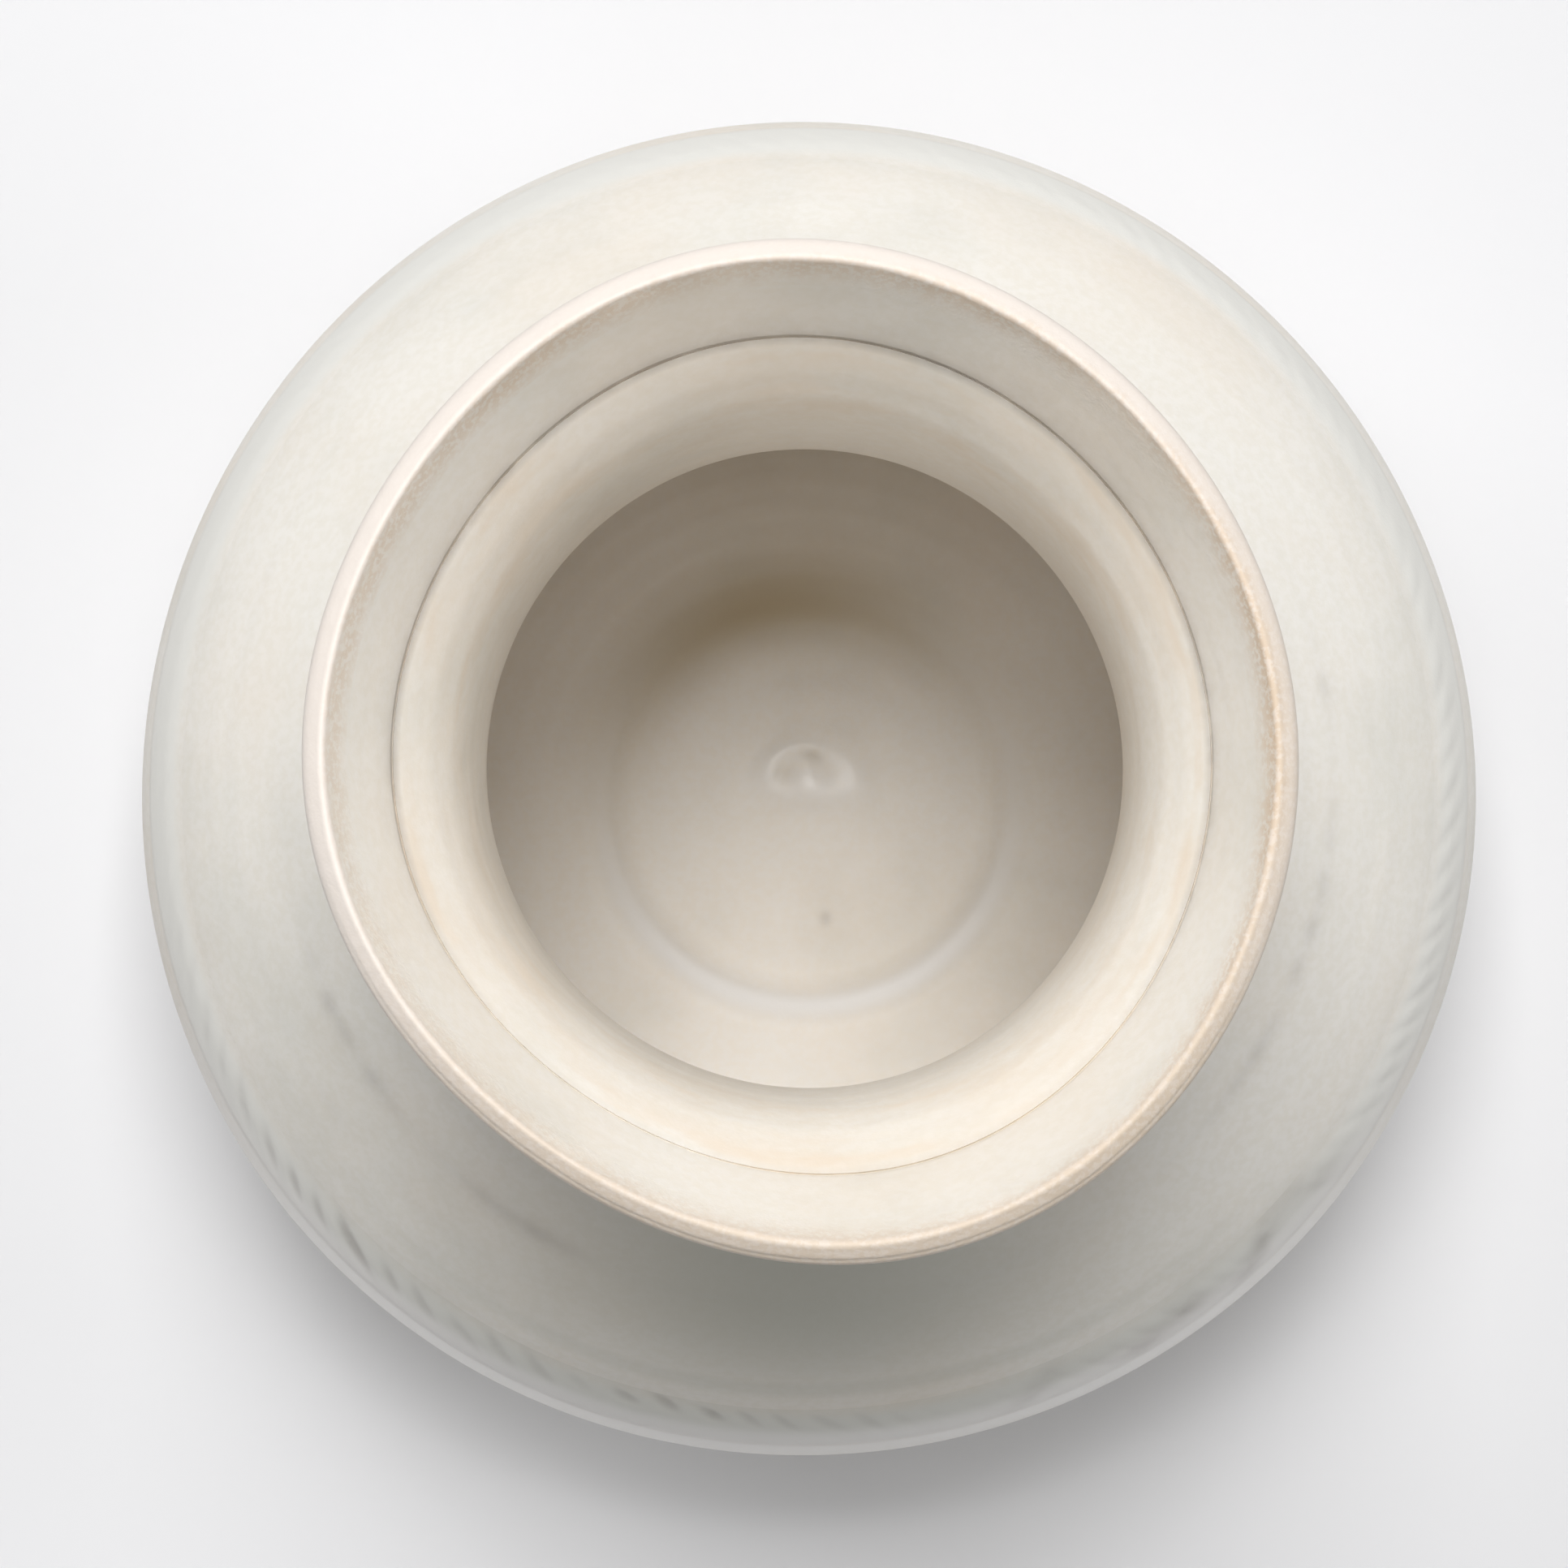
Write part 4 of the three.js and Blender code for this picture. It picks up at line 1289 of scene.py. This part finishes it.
def slip_profile(outer_low, inner_low, outer_top, inner_top, low, top, ribbed):
    """Thin ring between the faces of a joint, with a rib down into the scored groove."""
    under = scored_edge(outer_low, inner_low, low, KEY_ROOM)[::-1]
    if not ribbed:
        under = line((inner_low, low), (outer_low, low), count=5)
    return joined([
        under,
        line((outer_low, low), (outer_top, top), count=4),
        line((outer_top, top), (inner_top, top), count=4),
        line((inner_top, top), (inner_low, low), count=4),
    ])


class VASE_OT_slips(bpy.types.Operator):
    """Slip in the five joints, flush with the wall under the glaze"""

    bl_idname = "vase.slips"
    bl_label = "Joint slips"

    def execute(self, context):
        sizes, cord = context.scene.vase_sizes, context.scene.cord_sizes
        outer, inner = outer_wall(sizes), inner_wall(sizes)
        foot_in = sizes.foot_radius - sizes.foot_width - sizes.foot_spread
        foot_out = sizes.foot_radius + sizes.foot_spread
        lip_in, lip_top = mouth_wall(sizes, LIP_JOINT), mouth_wall(sizes, LIP_FOOT)
        lip_out = sizes.lip_radius - sizes.lip_overhang
        mouth_in = sizes.mouth_foot_radius

        def wall(height):
            """Outer and inner radius of the slip at a height of the wall."""
            return radius_at(outer, height), radius_at(inner, height)

        belly_low, belly_top = wall(BELLY_JOINT), wall(SHOULDER_FOOT)
        shoulder_low, shoulder_top = wall(SHOULDER_JOINT), wall(NECK_FOOT)
        mouth_low, mouth_top = wall(MOUTH_JOINT)[0], wall(MOUTH_FOOT)[0]
        rings = {
            "foot_slip": (foot_out, foot_in, foot_out, foot_in, FOOT_TOP, UNDERSIDE, False),
            "belly_slip": (belly_low[0] - cord.seat, belly_low[1], belly_top[0] - cord.seat, belly_top[1],
                           BELLY_JOINT, SHOULDER_FOOT, True),
            "shoulder_slip": (*shoulder_low, *shoulder_top, SHOULDER_JOINT, NECK_FOOT, True),
            "mouth_slip": (mouth_low, mouth_in, mouth_top, mouth_in, MOUTH_JOINT, MOUTH_FOOT, True),
            "lip_slip": (lip_out, lip_in, lip_out, lip_top, LIP_JOINT, LIP_FOOT, True),
        }
        material = slip_material(context.scene.vase_colours)
        for node, ring in rings.items():
            grid = Turned(slip_profile(*ring))
            piece = turned_object(f"{node}_line", grid, grid.points(sizes), wall_masks(sizes, grid))
            fit(piece, node, material)
        return {"FINISHED"}


# Camera as photographed, from over the mouth: place, tilt to the front, lean to the side, and its lens
CAMERA_PLACE = (0.0016, -0.0219, 0.7617)
CAMERA_TILT = math.radians(1.868)
CAMERA_LEAN = math.radians(0.423)
CAMERA_LENS = 102.67
SENSOR_WIDTH = 36.0
CAMERA_NEAR = 0.01

# Floor: rings and columns of its disc, its radius, and root of the first ring's share of that
FLOOR_GRID = (24, 96)
FLOOR_RADIUS = 1.4
FLOOR_HUB = 0.04

# Distances from the middle between which the floor fades into the background
FLOOR_FADE = (0.4, 1.3)

# Soft lamps: name, place and power in watts of each, their side length, and the place that they face
LAMPS = (
    ("back_softbox", (0.0, 0.55, 1.60), 17.6),
    ("top_softbox", (0.0, 0.17, 1.69), 5.6),
    ("left_softbox", (-1.06, 0.77, 1.02), 3.5),
    ("right_softbox", (1.45, 0.0, 0.78), 3.5),
    ("front_softbox", (0.0, -0.33, 1.67), 2.2),
    ("low_softbox", (-0.69, -1.20, 0.90), 1.6),
)
LAMP_SIDE = 0.60
LAMP_AIM = (0.0, 0.0, 0.10)
WORLD_FILL = 0.01


def stage_floor(colours):
    """Flat pale disc that fades out: rings of growing radius by equal angles, closed by a pole."""
    rings, columns = FLOOR_GRID
    theta = np.linspace(0.0, TURN, columns, endpoint=False)
    radii = FLOOR_RADIUS * np.linspace(FLOOR_HUB, 1.0, rings)[:, None] ** 2
    places = np.stack([radii * np.cos(theta), radii * np.sin(theta), np.zeros(FLOOR_GRID)], axis=-1)
    index = np.arange(rings * columns).reshape(FLOOR_GRID)
    lower, upper = index[:-1], index[1:]
    quads = np.stack([lower, upper, np.roll(upper, -1, axis=1), np.roll(lower, -1, axis=1)], axis=-1)
    pole = np.full(columns, rings * columns)
    fan = np.stack([pole, index[0], np.roll(index[0], -1)], axis=-1)
    mesh = bpy.data.meshes.new("floor")
    mesh.from_pydata([*places.reshape(-1, 3).tolist(), (0.0, 0.0, 0.0)], [],
                     quads.reshape(-1, 4).tolist() + fan.tolist())
    material, tree, shader = finish_material("pale_floor", 0.1)
    shader.inputs["Roughness"].default_value = 0.9
    faint = effect(tree, "glaze_clouds", scale=3.0, low=0.2, high=0.8)
    shade = tint(tree, times(tree, faint, 0.05), colours.floor, colours.slip)
    tree.links.new(shade, shader.inputs["Base Color"])
    place = tree.nodes.new("ShaderNodeTexCoord").outputs["Object"]
    away = add(tree, "ShaderNodeVectorMath", {0: place}, operation="LENGTH").outputs["Value"]
    tree.links.new(ease(tree, away, *FLOOR_FADE, 1.0, 0.0), shader.inputs["Alpha"])
    mesh.materials.append(material)
    floor = bpy.data.objects.new("floor", mesh)
    bpy.context.scene.collection.objects.link(floor)


def stage_world():
    """White to the camera and to reflections, an even fill light otherwise."""
    world = bpy.data.worlds.new("studio")
    world.use_nodes = True
    tree = world.node_tree
    tree.nodes.clear()
    path = tree.nodes.new("ShaderNodeLightPath").outputs
    seen = calculate(tree, "MAXIMUM", path["Is Camera Ray"], path["Is Glossy Ray"])
    seen = calculate(tree, "MAXIMUM", seen, path["Is Transmission Ray"])
    fill = add(tree, "ShaderNodeBackground", {"Color": (1.0, 1.0, 1.0, 1.0), "Strength": WORLD_FILL})
    white = add(tree, "ShaderNodeBackground", {"Color": (1.0, 1.0, 1.0, 1.0), "Strength": 1.0})
    mixed = add(tree, "ShaderNodeMixShader", {0: seen, 1: fill.outputs[0], 2: white.outputs[0]})
    add(tree, "ShaderNodeOutputWorld", {"Surface": mixed.outputs[0]})
    bpy.context.scene.world = world


def soft_lamp(name, place, watts):
    """Square area lamp that faces the vase: its -Z axis points at the aim and its X axis lies level."""
    lamp = bpy.data.lights.new(name, "AREA")
    lamp.size = LAMP_SIDE
    lamp.energy = watts
    back = np.array(place) - np.array(LAMP_AIM)
    back = back / np.linalg.norm(back)
    side = np.cross((0.0, 0.0, 1.0), back)
    side = side / np.linalg.norm(side)
    turn = Matrix(np.column_stack([side, np.cross(back, side), back]))
    holder = bpy.data.objects.new(name, lamp)
    holder.matrix_world = Matrix.Translation(place) @ turn.to_4x4()
    bpy.context.scene.collection.objects.link(holder)


class VASE_OT_stage(bpy.types.Operator):
    """Pale floor, soft studio light and the camera over the mouth"""

    bl_idname = "vase.stage"
    bl_label = "Stage"

    def execute(self, context):
        scene = context.scene
        stage_floor(scene.vase_colours)
        stage_world()
        for lamp in LAMPS:
            soft_lamp(*lamp)
        camera = bpy.data.cameras.new("camera")
        camera.lens = CAMERA_LENS
        camera.sensor_width = SENSOR_WIDTH
        camera.clip_start = CAMERA_NEAR
        holder = bpy.data.objects.new("camera", camera)
        turn = Matrix.Rotation(CAMERA_TILT, 4, "X") @ Matrix.Rotation(CAMERA_LEAN, 4, "Y")
        holder.matrix_world = Matrix.Translation(CAMERA_PLACE) @ turn
        scene.collection.objects.link(holder)
        scene.camera = holder
        scene.view_settings.view_transform = "Standard"
        return {"FINISHED"}


class VASE_PT_panel(bpy.types.Panel):
    """Sizes, colours and makers of the vase"""

    bl_idname = "VASE_PT_panel"
    bl_label = "Gourd vase"
    bl_space_type = "VIEW_3D"
    bl_region_type = "UI"
    bl_category = "Vase"

    def draw(self, context):
        for group in GROUPS:
            box = self.layout.box()
            for key in GROUPS[group].__annotations__:
                box.prop(getattr(context.scene, group), key)
        for operator in OPERATORS:
            self.layout.operator(operator.bl_idname)


GROUPS = {"vase_sizes": VaseSizes, "cord_sizes": CordSizes, "vase_colours": VaseColours}
OPERATORS = (
    VASE_OT_stage,
    VASE_OT_foot,
    VASE_OT_bowl,
    VASE_OT_shoulder,
    VASE_OT_cord_band,
    VASE_OT_neck,
    VASE_OT_mouth,
    VASE_OT_lip,
    VASE_OT_slips,
)
CLASSES = (*GROUPS.values(), *OPERATORS, VASE_PT_panel)


def register():
    """Registers the classes and gives the scene its sizes and colours."""
    for made in CLASSES:
        bpy.utils.register_class(made)
    for name, group in GROUPS.items():
        setattr(bpy.types.Scene, name, PointerProperty(type=group))


def unregister():
    """Takes away what register added."""
    for name in GROUPS:
        delattr(bpy.types.Scene, name)
    for made in reversed(CLASSES):
        bpy.utils.unregister_class(made)


def main():
    """Registers the classes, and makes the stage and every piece."""
    register()
    for operator in OPERATORS:
        group, name = operator.bl_idname.split(".")
        getattr(getattr(bpy.ops, group), name)()


if __name__ == "__main__":
    main()
